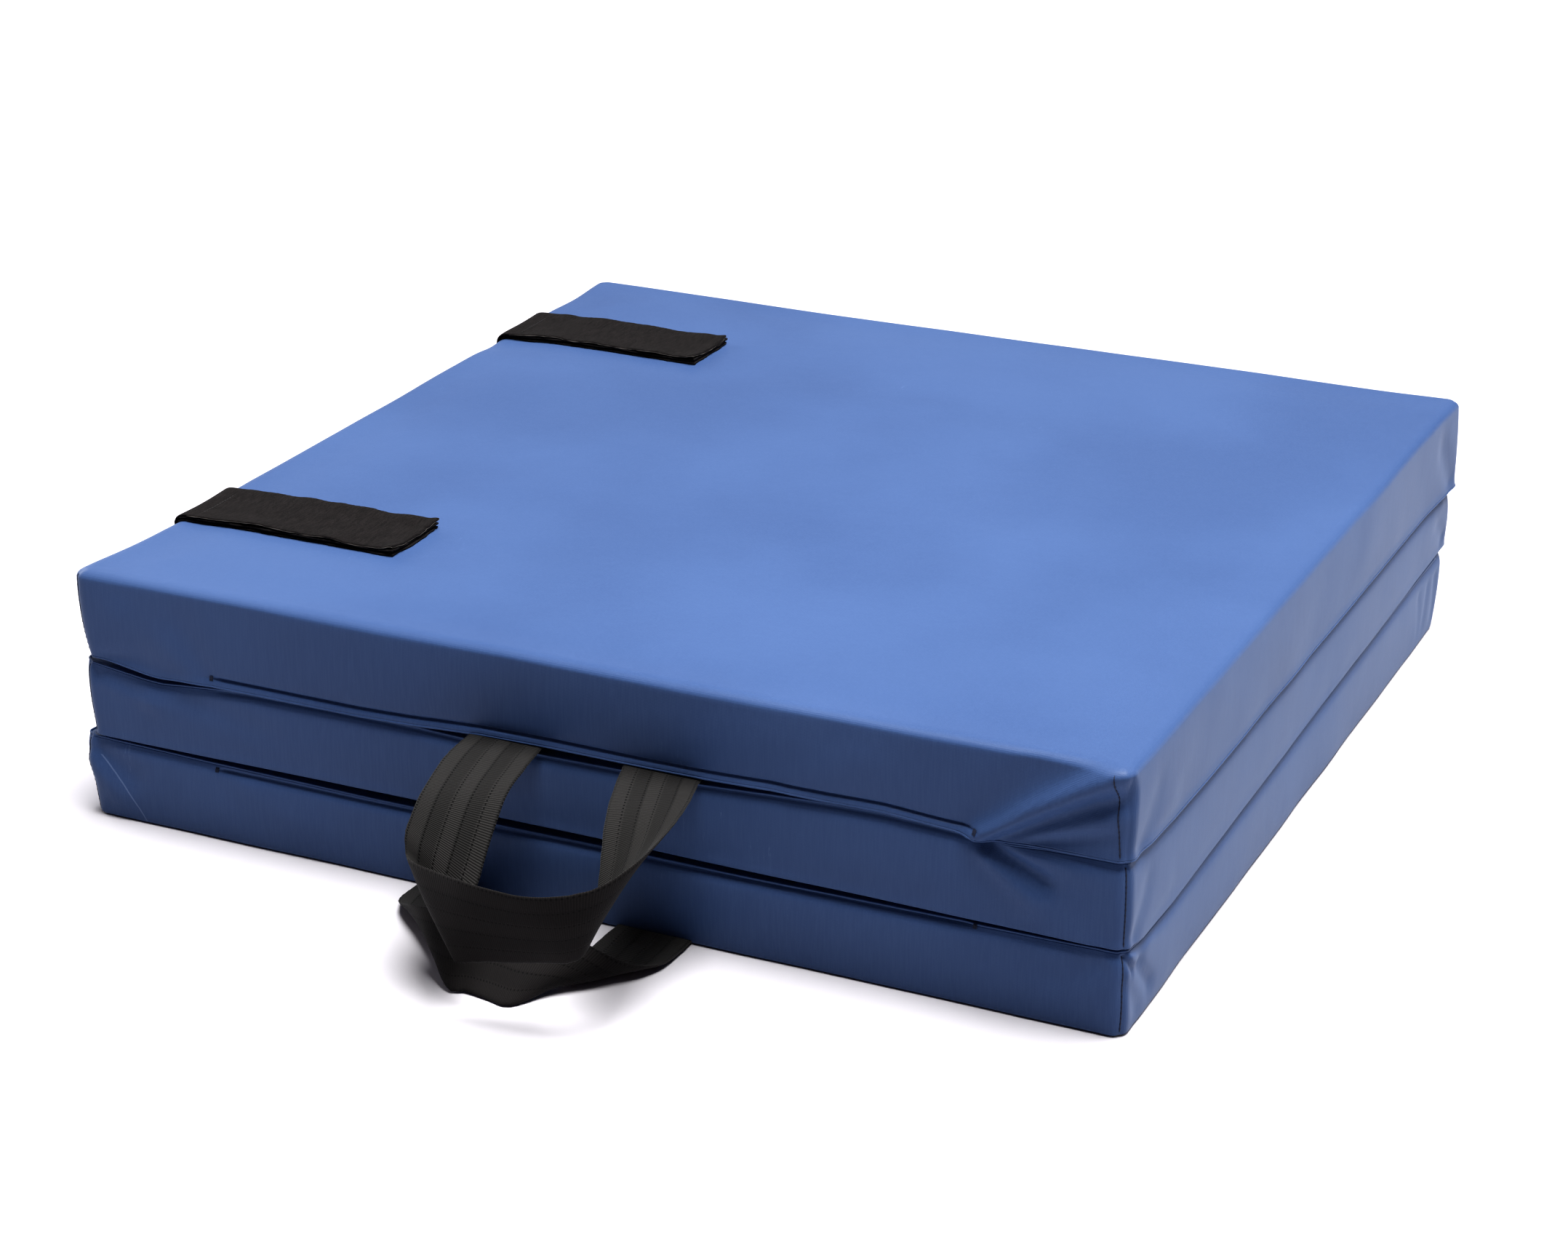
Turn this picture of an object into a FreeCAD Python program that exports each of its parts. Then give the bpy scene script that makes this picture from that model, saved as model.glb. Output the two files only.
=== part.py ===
"""Folding gym mat: three foam panels in sewn vinyl covers, folded in a Z.

Frame: origin at the centre of the underside of the bottom panel, +X to the
right along the front (handle) side, +Y to the back, +Z up.  Millimetres.
The top and middle panels are hinged along the left side, the middle and
bottom panels along the right side.
"""
import FreeCAD, Part
import os
import re
import sys

import Sketcher

from FreeCAD import Vector

doc = FreeCAD.newDocument("FoldingMat")

# ---------------------------------------------------------------- dimensions
# alias: (value in mm, what it is)
DIMENSIONS = {
    "fold_pitch": (610.0, "between the two fold lines, two feet"),
    "panel_depth": (610.0, "front to back, two feet"),
    "panel_thick": (49.6, "top panel, which nothing presses on"),
    "pressed_thick": (46.6, "middle and bottom panels, under the ones above"),
    "fold_gap": (2.0, "between two folded panels"),
    "side_gap": (0.8, "side wall to fold line"),
    "skin": (0.9, "cover vinyl"),
    "wall_radius": (12.0, "upright edges of a cover"),
    "rim_radius": (9.0, "rim of a cover's closed face"),
    "lip_reach": (1.0, "seam lip, out of the front and back walls"),
    "foam_inset": (3.2, "foam to outside of cover, all round"),
    "foam_floor": (3.0, "foam to outside of the closed face"),
    "foam_play": (3.4, "foam to outside of the seam sheet"),
    "foam_corner": (9.0, "foam's upright edges"),
    "foam_rim": (4.0, "foam's rim at the closed face"),
    "slot_length": (450.0, "zip opening in the front wall"),
    "slot_height": (3.0, "zip opening"),
    "slot_rise": (5.0, "seam to the zip opening's centre"),
    "tape_height": (8.0, "zip tape"),
    "tape_thick": (0.6, "zip tape"),
    "tape_gap": (0.2, "front wall to zip tape"),
    "coil_height": (2.0, "zip coil"),
    "coil_depth": (1.0, "zip coil"),
    "slider_length": (9.0, "zip slider, along the zip"),
    "slider_height": (2.8, "zip slider, across the zip"),
    "slider_depth": (1.5, "zip slider, out of the wall"),
    "slider_play": (0.15, "slider to coil"),
    "pull_length": (14.0, "zip pull"),
    "pull_height": (2.2, "zip pull"),
    "pull_thick": (0.5, "zip pull"),
    "hinge_reach": (35.0, "fold line to a hinge leaf's sewn edge"),
    "hinge_thick": (0.7, "hinge strip"),
    "hinge_play": (0.05, "hinge leaf to the fold line"),
    "webbing": (44.0, "handle webbing, wide"),
    "webbing_thick": (1.4, "handle webbing"),
    "tab_depth": (34.0, "handle end, front to back"),
    "tab_reach": (2.0, "handle end, out of the front wall"),
    "handle_out": (2.2, "front wall to the handles' swing lines"),
    "upper_left": (-41.0, "upper handle's left end"),
    "upper_right": (51.0, "upper handle's right end"),
    "lower_left": (-74.0, "lower handle's left end"),
    "lower_right": (45.0, "lower handle's right end"),
    "slit_play": (0.3, "cover slit round a handle end"),
    "flap_width": (51.0, "hook-and-loop tape, two inches"),
    "flap_length": (139.0, "joining flap"),
    "ply_thick": (1.3, "one ply of hook or loop tape"),
    "flap_inset": (5.2, "side wall to a flap's fold"),
    "flap_rise": (2.2, "closed face to a flap's fold line"),
    "flap_play": (0.3, "flap to its fold line and to the tape below"),
    "root_height": (14.0, "flap's end on the side wall"),
    "front_flap": (-191.0, "front flap's centre"),
    "back_flap": (185.0, "back flap's centre"),
    "thread": (0.6, "sewing thread"),
    "thread_rise": (0.3, "sewing thread, out of the cloth"),
    "stitch_length": (4.0, "one stitch"),
    "stitch_pitch": (7.0, "one stitch to the next"),
    "seam_inset": (15.0, "side wall to the upright seams"),
    "flap_seam": (3.0, "flap's edge to its stitching"),
}

sheet = doc.addObject("Spreadsheet::Sheet", "Dimensions")
for row, (alias, (value, _meaning)) in enumerate(DIMENSIONS.items(), start=1):
    sheet.set(f"A{row}", alias)
    sheet.set(f"B{row}", str(value))
    sheet.setAlias(f"B{row}", alias)
doc.recompute()
ALIAS = re.compile(r"\b(" + "|".join(DIMENSIONS) + r")\b")


def cell(text):
    """An expression in plain aliases, as the document writes it."""
    return ALIAS.sub(r"Dimensions.\1", text)


def size(text):
    """The value of an expression in plain aliases."""
    value = sheet.evalExpression(cell(text))
    return float(getattr(value, "Value", value))


# Working values, as expressions of the sheet.
PANELS = ("bottom", "middle", "top")
LEVEL = {name: f"{count} * (pressed_thick + fold_gap)" for count, name in enumerate(PANELS)}
THICK = {"bottom": "pressed_thick", "middle": "pressed_thick", "top": "panel_thick"}
PANEL_LENGTH = "(fold_pitch - 2 * side_gap)"
WALL_HEIGHT = {name: f"({THICK[name]} - skin)" for name in PANELS}
FRONT = "(-panel_depth / 2)"
TOP_FACE = f"({LEVEL['top']} + panel_thick)"
FLAP_FOLD = "(-fold_pitch / 2 + side_gap + flap_inset)"
FLAP_CENTRES = {"front": "front_flap", "back": "back_flap"}
ZIP_HEIGHT = {
    "bottom": f"({LEVEL['bottom']} + {WALL_HEIGHT['bottom']} - slot_rise)",
    "middle": f"({LEVEL['middle']} + {WALL_HEIGHT['middle']} - slot_rise)",
    "top": f"({LEVEL['top']} + skin + slot_rise)",
}
UPPER_TAB = f"({LEVEL['top']} - webbing_thick)"
LOWER_TAB = "(skin + 0.1)"

subparts = []


def keep(item, node):
    """Name a finished sub-part, which is also its file's name."""
    item.Label = node
    subparts.append(item)
    return item


# ------------------------------------------------------------ building blocks
def place(item, low):
    """Bind where an item's own origin lies."""
    for axis, text in zip("xyz", low):
        item.setExpression(f"Placement.Base.{axis}", cell(text))


def block(name, low, sides):
    """A rectangular piece from its lowest corner and its three sides."""
    item = doc.addObject("Part::Box", name)
    for side, text in zip(("Length", "Width", "Height"), sides):
        item.setExpression(side, cell(text))
    place(item, low)
    return item


def group(name, items):
    """Separate solids that share one node."""
    item = doc.addObject("Part::Compound", name)
    item.Links = items
    return item


def sketch_on(body, name, role, shift=None):
    """A sketch on one of the body's own planes, moved off it by shift."""
    plane = next(item for item in body.Origin.OriginFeatures if item.Role == role)
    sketch = body.newObject("Sketcher::SketchObject", name)
    sketch.AttachmentSupport = [(plane, "")]
    sketch.MapMode = "FlatFace"
    for axis, text in (shift or {}).items():
        sketch.setExpression(f"AttachmentOffset.Base.{axis}", cell(text))
    return sketch


def centred_rectangle(sketch, width, height):
    """Draw a rectangle about the sketch's origin."""
    corners = [Vector(-9, -5, 0), Vector(9, -5, 0), Vector(9, 5, 0), Vector(-9, 5, 0)]
    for count, corner in enumerate(corners):
        sketch.addGeometry(Part.LineSegment(corner, corners[(count + 1) % 4]), False)
    for count in range(4):
        sketch.addConstraint(Sketcher.Constraint("Coincident", count, 2, (count + 1) % 4, 1))
    for count, kind in enumerate(("Horizontal", "Vertical") * 2):
        sketch.addConstraint(Sketcher.Constraint(kind, count))
    sketch.addConstraint(Sketcher.Constraint("Symmetric", 0, 1, 2, 1, -1, 1))
    for name, side, text in (("width", 0, width), ("height", 1, height)):
        kind = "DistanceX" if name == "width" else "DistanceY"
        index = sketch.addConstraint(Sketcher.Constraint(kind, side, 1, side, 2, 10.0))
        sketch.renameConstraint(index, name)
        sketch.setExpression(f"Constraints.{name}", cell(text))


def feature(body, kind, name, profile, length):
    """A pad or pocket of a sketch."""
    item = body.newObject(f"PartDesign::{kind}", name)
    item.Profile = profile
    item.setExpression("Length", cell(length))
    return item


def round_edges(body, name, base, wanted, radius):
    """Fillet the base's edges that the test picks."""
    doc.recompute()
    item = body.newObject("PartDesign::Fillet", name)
    edges = enumerate(base.Shape.Edges, start=1)
    item.Base = (base, [f"Edge{count}" for count, edge in edges if wanted(edge)])
    item.setExpression("Radius", cell(radius))
    return item


def upright(edge):
    """True for an edge along Z."""
    first, last = (vertex.Point for vertex in (edge.Vertexes[0], edge.Vertexes[-1]))
    return abs(first.z - last.z) > 0.1


def on_floor(edge):
    """True for an edge in the plane of the body's closed face."""
    return edge.BoundBox.ZMax < 0.01


def slab(name, sides, corner, rim=None):
    """A flat piece with rounded corners, its closed face at its own z = 0."""
    length, depth, height = sides
    body = doc.addObject("PartDesign::Body", name)
    outline = sketch_on(body, f"{name}_outline", "XY_Plane")
    centred_rectangle(outline, length, depth)
    tip = feature(body, "Pad", f"{name}_pad", outline, height)
    tip = round_edges(body, f"{name}_corners", tip, upright, corner)
    if rim:
        tip = round_edges(body, f"{name}_rim", tip, on_floor, rim)
    return body, tip


def lay(body, panel, rise="0"):
    """Stand a slab in a panel: closed face down, or up in the top panel."""
    if panel == "top":
        body.Placement = FreeCAD.Placement(Vector(), FreeCAD.Rotation(Vector(0, 1, 0), 180))
        place(body, ("0", "0", f"{TOP_FACE} - {rise}"))
    else:
        place(body, ("0", "0", f"{LEVEL[panel]} + {rise}"))


# -------------------------------------------------------------------- panels
def foam_core(panel):
    """The closed-cell foam slab."""
    sides = (f"{PANEL_LENGTH} - 2 * foam_inset", "panel_depth - 2 * foam_inset",
             f"{THICK[panel]} - foam_floor - foam_play")
    body, _tip = slab(f"foam_core_{panel}", sides, "foam_corner", "foam_rim")
    lay(body, panel, "foam_floor")
    return keep(body, f"foam_core_{panel}")


def cover_shell(panel):
    """The cover's closed face and four walls, with its zip opening in front."""
    node = f"cover_shell_{panel}"
    body, tip = slab(f"{node}_body", (PANEL_LENGTH, "panel_depth", WALL_HEIGHT[panel]),
                     "wall_radius", "rim_radius")
    doc.recompute()
    open_face = max(range(len(tip.Shape.Faces)), key=lambda k: tip.Shape.Faces[k].CenterOfMass.z)
    hollow = body.newObject("PartDesign::Thickness", f"{node}_hollow")
    hollow.Base = (tip, [f"Face{open_face + 1}"])
    hollow.Mode = "Skin"
    hollow.Join = "Arc"
    hollow.Reversed = True
    hollow.setExpression("Value", cell("skin"))
    shift = {"y": f"{WALL_HEIGHT[panel]} - slot_rise", "z": "panel_depth / 2 + skin"}
    opening = sketch_on(body, f"{node}_slot", "XZ_Plane", shift)
    centred_rectangle(opening, "slot_length", "slot_height")
    feature(body, "Pocket", f"{node}_cut", opening, "3 * skin")
    lay(body, panel)
    if panel != "bottom":
        return keep(body, node)
    slits = group("handle_slits", [
        block(f"slit_{side}", (f"lower_{side} - webbing / 2 - slit_play", f"{FRONT} - 1", "skin"),
              ("webbing + 2 * slit_play", "2 * rim_radius", "webbing_thick + 2 * slit_play"))
        for side in ("left", "right")])
    cut = doc.addObject("Part::Cut", f"{node}_slit")
    cut.Base = body
    cut.Tool = slits
    return keep(cut, node)


def cover_sheet(panel):
    """The sheet that closes the cover, with the seam lip at front and back."""
    node = f"cover_sheet_{panel}"
    sides = (PANEL_LENGTH, "panel_depth + 2 * lip_reach", "skin")
    body, _tip = slab(node, sides, "wall_radius")
    rise = "0" if panel == "top" else WALL_HEIGHT[panel]
    place(body, ("0", "0", f"{LEVEL[panel]} + {rise}"))
    return keep(body, node)


def stitch_row(start, step, count, across, rise):
    """Stitches in a straight row: each a small block along the row."""
    along = step.normalize()
    pitch, length = size("stitch_pitch"), size("stitch_length")
    blocks = []
    for number in range(count):
        low = start + along * (pitch * number)
        far = low + along * length + across * size("thread") + rise * size("thread_rise")
        corner = Vector(*(min(pair) for pair in zip(low, far)))
        sides = (abs(b - a) for a, b in zip(low, far))
        blocks.append(Part.makeBox(*sides, corner))
    return blocks


def stitching(node, rows):
    """One node of sewing thread, as separate stitches."""
    item = doc.addObject("Part::Feature", node)
    item.Shape = Part.makeCompound([stitch for row in rows for stitch in stitch_row(*row)])
    item.Placement = FreeCAD.Placement()
    return keep(item, node)


def corner_stitching(panel):
    """Thread of the four upright corner seams, on the front and back walls."""
    base = size(LEVEL[panel]) + size("rim_radius")
    if panel == "top":
        base = size(LEVEL[panel]) + size("skin + slot_rise") / 2
    count = int(size(f"{THICK[panel]} - rim_radius - stitch_length") // size("stitch_pitch"))
    reach, depth = size(f"{PANEL_LENGTH} / 2 - seam_inset"), size("panel_depth / 2")
    rows = []
    for side in (-1, 1):
        for face in (-1, 1):
            start = Vector(side * reach, face * depth, base)
            rows.append((start, Vector(0, 0, 1), count, Vector(side, 0, 0), Vector(0, face, 0)))
    return stitching(f"corner_stitching_{panel}", rows)


# ---------------------------------------------------------------------- zips
def zip_tape(panel):
    """Zip tape behind the front wall, with its coil in the opening."""
    face = f"({FRONT} + skin + tape_gap)"
    middle = ZIP_HEIGHT[panel]
    tape = block(f"tape_{panel}", ("-slot_length / 2 - 5", face, f"{middle} - tape_height / 2"),
                 ("slot_length + 10", "tape_thick", "tape_height"))
    coil = block(f"coil_{panel}",
                 ("-slot_length / 2", f"{face} - coil_depth", f"{middle} - coil_height / 2"),
                 ("slot_length", "coil_depth", "coil_height"))
    joined = doc.addObject("Part::Fuse", f"zip_{panel}")
    joined.Base = tape
    joined.Tool = coil
    return keep(joined, f"zip_tape_{panel}")


def zip_slider(panel):
    """The slider over the coil at the closed, right-hand end, and its pull."""
    back = f"({FRONT} + skin + tape_gap - 0.1)"
    middle = ZIP_HEIGHT[panel]
    start = "(slot_length / 2 - 1 - slider_length)"
    shell = block(f"slider_{panel}",
                  (start, f"{back} - slider_depth", f"{middle} - slider_height / 2"),
                  ("slider_length", "slider_depth", "slider_height"))
    groove = block(f"groove_{panel}",
                   (f"{start} - 1", f"{back} - coil_depth - slider_play + 0.1",
                    f"{middle} - coil_height / 2 - slider_play"),
                   ("slider_length + 2", "2 * coil_depth", "coil_height + 2 * slider_play"))
    slider = doc.addObject("Part::Cut", f"zip_slider_{panel}_cut")
    slider.Base = shell
    slider.Tool = groove
    keep(slider, f"zip_slider_{panel}")
    pull = block(f"zip_pull_{panel}_block",
                 (f"{start} - pull_length + slider_length / 2",
                  f"{back} - slider_depth - pull_thick", f"{middle} - pull_height / 2"),
                 ("pull_length", "pull_thick", "pull_height"))
    keep(pull, f"zip_pull_{panel}")


# -------------------------------------------------------------------- hinges
def hinge_leaf(side, panel, below):
    """Half of a sewn hinge strip, on the panel's face in the gap between two panels."""
    reach = "(hinge_reach - hinge_play)"
    low_x = "fold_pitch / 2 - hinge_reach" if side == "right" else "-fold_pitch / 2 + hinge_play"
    if below:
        low_z = f"{LEVEL[panel]} + {THICK[panel]}"
    else:
        low_z = f"{LEVEL[panel]} - hinge_thick"
    length = "(panel_depth - 4 * wall_radius)"
    leaf = block(f"leaf_{side}_{panel}", (low_x, f"-{length} / 2", low_z),
                 (reach, length, "hinge_thick"))
    keep(leaf, f"hinge_strip_{side}_{panel}")


# ------------------------------------------------------------------- handles
# Each handle is one length of webbing.  A station is a straight line across
# it, from the edge that is on top at the grip to the edge that is below.
STEPS_BETWEEN = 4
UPPER_STATIONS = [
    ((-63, -308.2, 96.5), (-19, -308.2, 96.5)),
    ((-60, -336, 96), (-16, -330, 96)),
    ((-55, -368, 91), (-12, -361, 88)),
    ((-53, -388, 79), (-9, -393, 60)),
    ((-51, -393, 70), (-9, -409, 41)),
    ((-47, -398, 68), (-9, -417, 31)),
    ((-37, -404, 69), (-8, -420, 28)),
    ((-20, -411, 71), (-4, -419, 28)),
    ((-4, -417, 73), (5, -416, 29)),
    ((16, -421, 74), (20, -413, 31)),
    ((34, -422, 75), (37, -410, 33)),
    ((52, -418, 77), (50, -408, 35)),
    ((68, -408, 81), (56, -405, 39)),
    ((79, -388, 88), (55, -396, 50)),
    ((82, -358, 95), (47, -378, 73)),
    ((79, -332, 96), (38, -348, 92)),
    ((73, -308.2, 96.5), (29, -308.2, 96.5)),
]
LOWER_STATIONS = [
    ((-96, -308.2, 1.7), (-52, -308.2, 1.7)),
    ((-96, -320, 2.5), (-52, -328, 9)),
    ((-93, -331, 4), (-45, -350, 12)),
    ((-87, -342, 8), (-35, -370, 10)),
    ((-78, -352, 14), (-27, -386, 6)),
    ((-64, -361, 20), (-21, -398, 3)),
    ((-44, -366, 24), (-12, -403, 2)),
    ((-16, -367, 25), (2, -403, 2)),
    ((12, -366, 24), (14, -401, 2)),
    ((34, -364, 21), (19, -394, 2)),
    ((51, -361, 16), (21, -384, 3)),
    ((61, -354, 10), (22, -372, 4)),
    ((66, -340, 5), (22, -354, 5)),
    ((67, -324, 2.5), (23, -332, 4)),
    ((67, -308.2, 1.7), (23, -308.2, 1.7)),
]


def smooth(points):
    """Closer points on a smooth curve through the given ones."""
    points = [Vector(*point) for point in points]
    padded = [points[0]] + points + [points[-1]]
    curve = []
    for before, start, end, after in zip(padded, padded[1:], padded[2:], padded[3:]):
        leaving, arriving = (end - before) * 0.5, (after - start) * 0.5
        for number in range(STEPS_BETWEEN):
            t = number / STEPS_BETWEEN
            curve.append(start * (2 * t ** 3 - 3 * t ** 2 + 1) + leaving * (t ** 3 - 2 * t ** 2 + t)
                         + end * (3 * t ** 2 - 2 * t ** 3) + arriving * (t ** 3 - t ** 2))
    return curve + [points[-1]]


def section(upper, lower, count, thick):
    """The four corners of the webbing where its edges pass one pair of points."""
    last = len(upper) - 1
    low, high = max(count - 1, 0), min(count + 1, last)
    along = upper[high] - upper[low] + lower[high] - lower[low]
    if count in (0, last):
        along = Vector(0, along.y, 0)
    face = along.cross(upper[count] - lower[count]).normalize() * (thick / 2)
    return [upper[count] + face, upper[count] - face, lower[count] - face, lower[count] + face]


def triangles(corners):
    """Two triangular faces over four corners in order."""
    first, second, third, fourth = corners
    loops = ([first, second, third, first], [first, third, fourth, first])
    return [Part.Face(Part.makePolygon(loop)) for loop in loops]


def webbing_loop(node, stations):
    """The free part of a handle, as one closed solid."""
    thick = size("webbing_thick")
    upper, lower = (smooth(points) for points in zip(*stations))
    loops = [section(upper, lower, count, thick) for count in range(len(upper))]
    faces = triangles(loops[0][::-1]) + triangles(loops[-1])
    for near, far in zip(loops, loops[1:]):
        for count in range(4):
            after = (count + 1) % 4
            faces += triangles([near[count], near[after], far[after], far[count]])
    solid = Part.makeSolid(Part.makeShell(faces))
    item = doc.addObject("Part::Feature", node)
    item.Shape = solid
    item.Placement = FreeCAD.Placement()
    return keep(item, node)


def handle_ends(handle, low_z):
    """The two ends of a handle's webbing, sewn in under the panel."""
    tabs = [block(f"{handle}_end_{side}",
                  (f"{handle}_{side} - webbing / 2", f"{FRONT} - tab_reach", low_z),
                  ("webbing", "tab_depth", "webbing_thick"))
            for side in ("left", "right")]
    keep(group(f"handle_{handle}_tabs", tabs), f"handle_{handle}_ends")


def handle_stitching(handle, start_z, rise):
    """Two rows of stitches across each handle end."""
    rows = []
    count = int(size("webbing - stitch_length") // size("stitch_pitch")) + 1
    for side in ("left", "right"):
        for inset in ("tab_depth / 4", "tab_depth * 3 / 4"):
            start = Vector(size(f"{handle}_{side} - webbing / 2 + 2"),
                           size(f"{FRONT} + {inset}"), start_z)
            rows.append((start, Vector(1, 0, 0), count, Vector(0, 1, 0), rise))
    return stitching(f"handle_{handle}_stitching", rows)


# --------------------------------------------------------------------- flaps
def flap(name):
    """A joining flap: loop strip on the panel, then hook ply and outer ply."""
    low_y = f"{FLAP_CENTRES[name]} - flap_width / 2"
    sides = ("flap_length", "flap_width", "ply_thick")
    loop = block(f"loop_{name}", (f"{FLAP_FOLD} + flap_play", low_y, TOP_FACE), sides)
    keep(loop, f"loop_strip_top_{name}")
    for count, ply in enumerate(("hook", "outer")):
        rise = f"{TOP_FACE} + ply_thick * {count + 1} + flap_play"
        piece = block(f"{ply}_{name}", (f"{FLAP_FOLD} + flap_play", low_y, rise), sides)
        keep(piece, f"flap_{ply}_{name}")
    top = size(f"{TOP_FACE} + ply_thick * 3 + flap_play")
    near, far = size(f"{FLAP_FOLD} + flap_seam"), size(f"{FLAP_FOLD} + flap_length - flap_seam")
    low, high = (size(f"{FLAP_CENTRES[name]} {sign} (flap_width / 2 - flap_seam)") for sign in "-+")
    pitch = size("stitch_pitch")
    along, across, rise = Vector(1, 0, 0), Vector(0, 1, 0), Vector(0, 0, 1)
    long_count, short_count = int((far - near) // pitch), int((high - low) // pitch)
    stitching(f"flap_stitching_{name}", [
        (Vector(near, low, top), along, long_count, -across, rise),
        (Vector(near, high, top), along, long_count, across, rise),
        (Vector(far, low, top), across, short_count, along, rise),
    ])


def flap_root(name):
    """The flap's end, sewn to the panel's free wall below the rim."""
    low_y = f"{FLAP_CENTRES[name]} - flap_width / 2"
    low_z = f"{TOP_FACE} - rim_radius - root_height"
    root = block(f"root_{name}", ("-fold_pitch / 2 + side_gap - hinge_thick", low_y, low_z),
                 ("hinge_thick", "flap_width", "root_height"))
    keep(root, f"flap_root_{name}")


# ------------------------------------------------------------------ assembly
for panel_name in PANELS:
    foam_core(panel_name)
    cover_shell(panel_name)
    cover_sheet(panel_name)
    corner_stitching(panel_name)
    zip_tape(panel_name)
    zip_slider(panel_name)

hinge_leaf("left", "middle", below=True)
hinge_leaf("left", "top", below=False)
hinge_leaf("right", "bottom", below=True)
hinge_leaf("right", "middle", below=False)

webbing_loop("handle_upper_loop", UPPER_STATIONS)
webbing_loop("handle_lower_loop", LOWER_STATIONS)
handle_ends("upper", UPPER_TAB)
handle_ends("lower", LOWER_TAB)
handle_stitching("upper", size(UPPER_TAB), Vector(0, 0, -1))
handle_stitching("lower", size(f"{LOWER_TAB} + webbing_thick"), Vector(0, 0, 1))

for flap_name in FLAP_CENTRES:
    flap(flap_name)
    flap_root(flap_name)

# -------------------------------------------------------------------- output
doc.recompute()
problems = [f"{item.Name}: {item.State}" for item in doc.Objects
            if {"Invalid", "Error"} & set(item.State)]
for item in subparts:
    if item.Shape.isNull() or not item.Shape.isValid():
        problems.append(f"{item.Label}: shape is null or not valid")
    elif item.Shape.Volume <= 0:
        problems.append(f"{item.Label}: no volume")
if problems:
    sys.exit("\n".join(problems))

os.makedirs("parts", exist_ok=True)
for item in subparts:
    item.Shape.exportStep(f"parts/{item.Label}.step")
    print(f"{item.Label:28s} {len(item.Shape.Solids):3d} solid(s) {item.Shape.Volume:12.1f} mm3")
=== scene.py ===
"""Looks of the folding gym mat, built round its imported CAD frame."""
import math

import bpy
import numpy as np
from mathutils import Matrix, Vector, noise


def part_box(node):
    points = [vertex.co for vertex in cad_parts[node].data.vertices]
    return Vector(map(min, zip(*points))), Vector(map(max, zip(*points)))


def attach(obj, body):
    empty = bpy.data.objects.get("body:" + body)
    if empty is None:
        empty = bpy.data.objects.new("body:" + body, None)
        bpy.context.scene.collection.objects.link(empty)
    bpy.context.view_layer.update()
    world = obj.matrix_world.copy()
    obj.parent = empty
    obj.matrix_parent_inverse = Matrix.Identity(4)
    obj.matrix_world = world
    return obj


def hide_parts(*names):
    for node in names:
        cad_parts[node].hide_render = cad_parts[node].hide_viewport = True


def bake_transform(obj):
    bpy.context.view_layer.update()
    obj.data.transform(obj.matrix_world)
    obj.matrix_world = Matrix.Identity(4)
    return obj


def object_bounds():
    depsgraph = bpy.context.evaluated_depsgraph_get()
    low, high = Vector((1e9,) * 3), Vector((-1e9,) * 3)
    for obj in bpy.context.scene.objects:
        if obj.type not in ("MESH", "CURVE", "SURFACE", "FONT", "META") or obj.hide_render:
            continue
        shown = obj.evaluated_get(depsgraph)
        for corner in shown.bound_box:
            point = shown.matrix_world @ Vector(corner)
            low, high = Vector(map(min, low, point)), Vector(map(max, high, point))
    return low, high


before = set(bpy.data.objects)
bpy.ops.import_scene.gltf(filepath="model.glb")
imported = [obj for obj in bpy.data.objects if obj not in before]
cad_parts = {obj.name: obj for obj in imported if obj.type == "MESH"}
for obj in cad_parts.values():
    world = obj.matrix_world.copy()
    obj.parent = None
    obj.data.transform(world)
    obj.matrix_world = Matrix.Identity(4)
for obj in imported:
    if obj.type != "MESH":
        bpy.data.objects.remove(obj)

CAD_LOW, CAD_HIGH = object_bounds()
MM = 0.001
PANELS = ("bottom", "middle", "top")

# ---------------- small maths


def smoothstep(value, low, high):
    """0 below low, 1 above high, and a smooth turn between them."""
    t = np.clip((np.asarray(value, float) - low) / (high - low), 0, 1)
    return t * t * (3 - 2 * t)


def bell(value, width):
    """1 at zero, falling smoothly to nothing beyond about two widths."""
    return np.exp(-(np.asarray(value, float) / width) ** 2)


def wavy(points, scale, seed, stretch=(1, 1, 1)):
    """Smooth noise from -1 to 1 at each point. Scale is the size of a bump, in the points' unit."""
    shift = Vector((seed * 3.7, seed * 1.3, seed * 2.9))
    sizes = Vector(stretch) * scale
    return np.array([noise.noise(Vector((p[0] / sizes.x, p[1] / sizes.y, p[2] / sizes.z)) + shift)
                     for p in points])


def along_line(u, v, start, end):
    """Share of the way along a line and distance to its left, for points of a wall in mm."""
    start, end = np.array(start, float), np.array(end, float)
    way = end - start
    length = np.hypot(*way)
    way /= length
    du, dv = u - start[0], v - start[1]
    return (du * way[0] + dv * way[1]) / length, dv * way[0] - du * way[1]


# Shares of its length over which a fold rises at its start and fades at its end.
FOLD_START = (-0.12, 0.08)
FOLD_END = (0.75, 1.15)


def fold(u, v, start, end, width, height, spread):
    """A soft ridge from start to end, or a groove if height is below zero; spread widens it."""
    share, off = along_line(u, v, start, end)
    broad = width * (1 + spread * np.clip(share, 0, 1))
    ends = smoothstep(share, *FOLD_START) * (1 - smoothstep(share, *FOLD_END))
    return height * ends * bell(off, broad)


def distance_along(path):
    """How far along a path each of its points lies."""
    return np.concatenate([[0], np.cumsum(np.linalg.norm(np.diff(path, axis=0), axis=1))])


def node_box(name):
    """Lowest and highest corner of a CAD node, in mm."""
    low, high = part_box(name)
    return np.array(low) / MM, np.array(high) / MM


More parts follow.
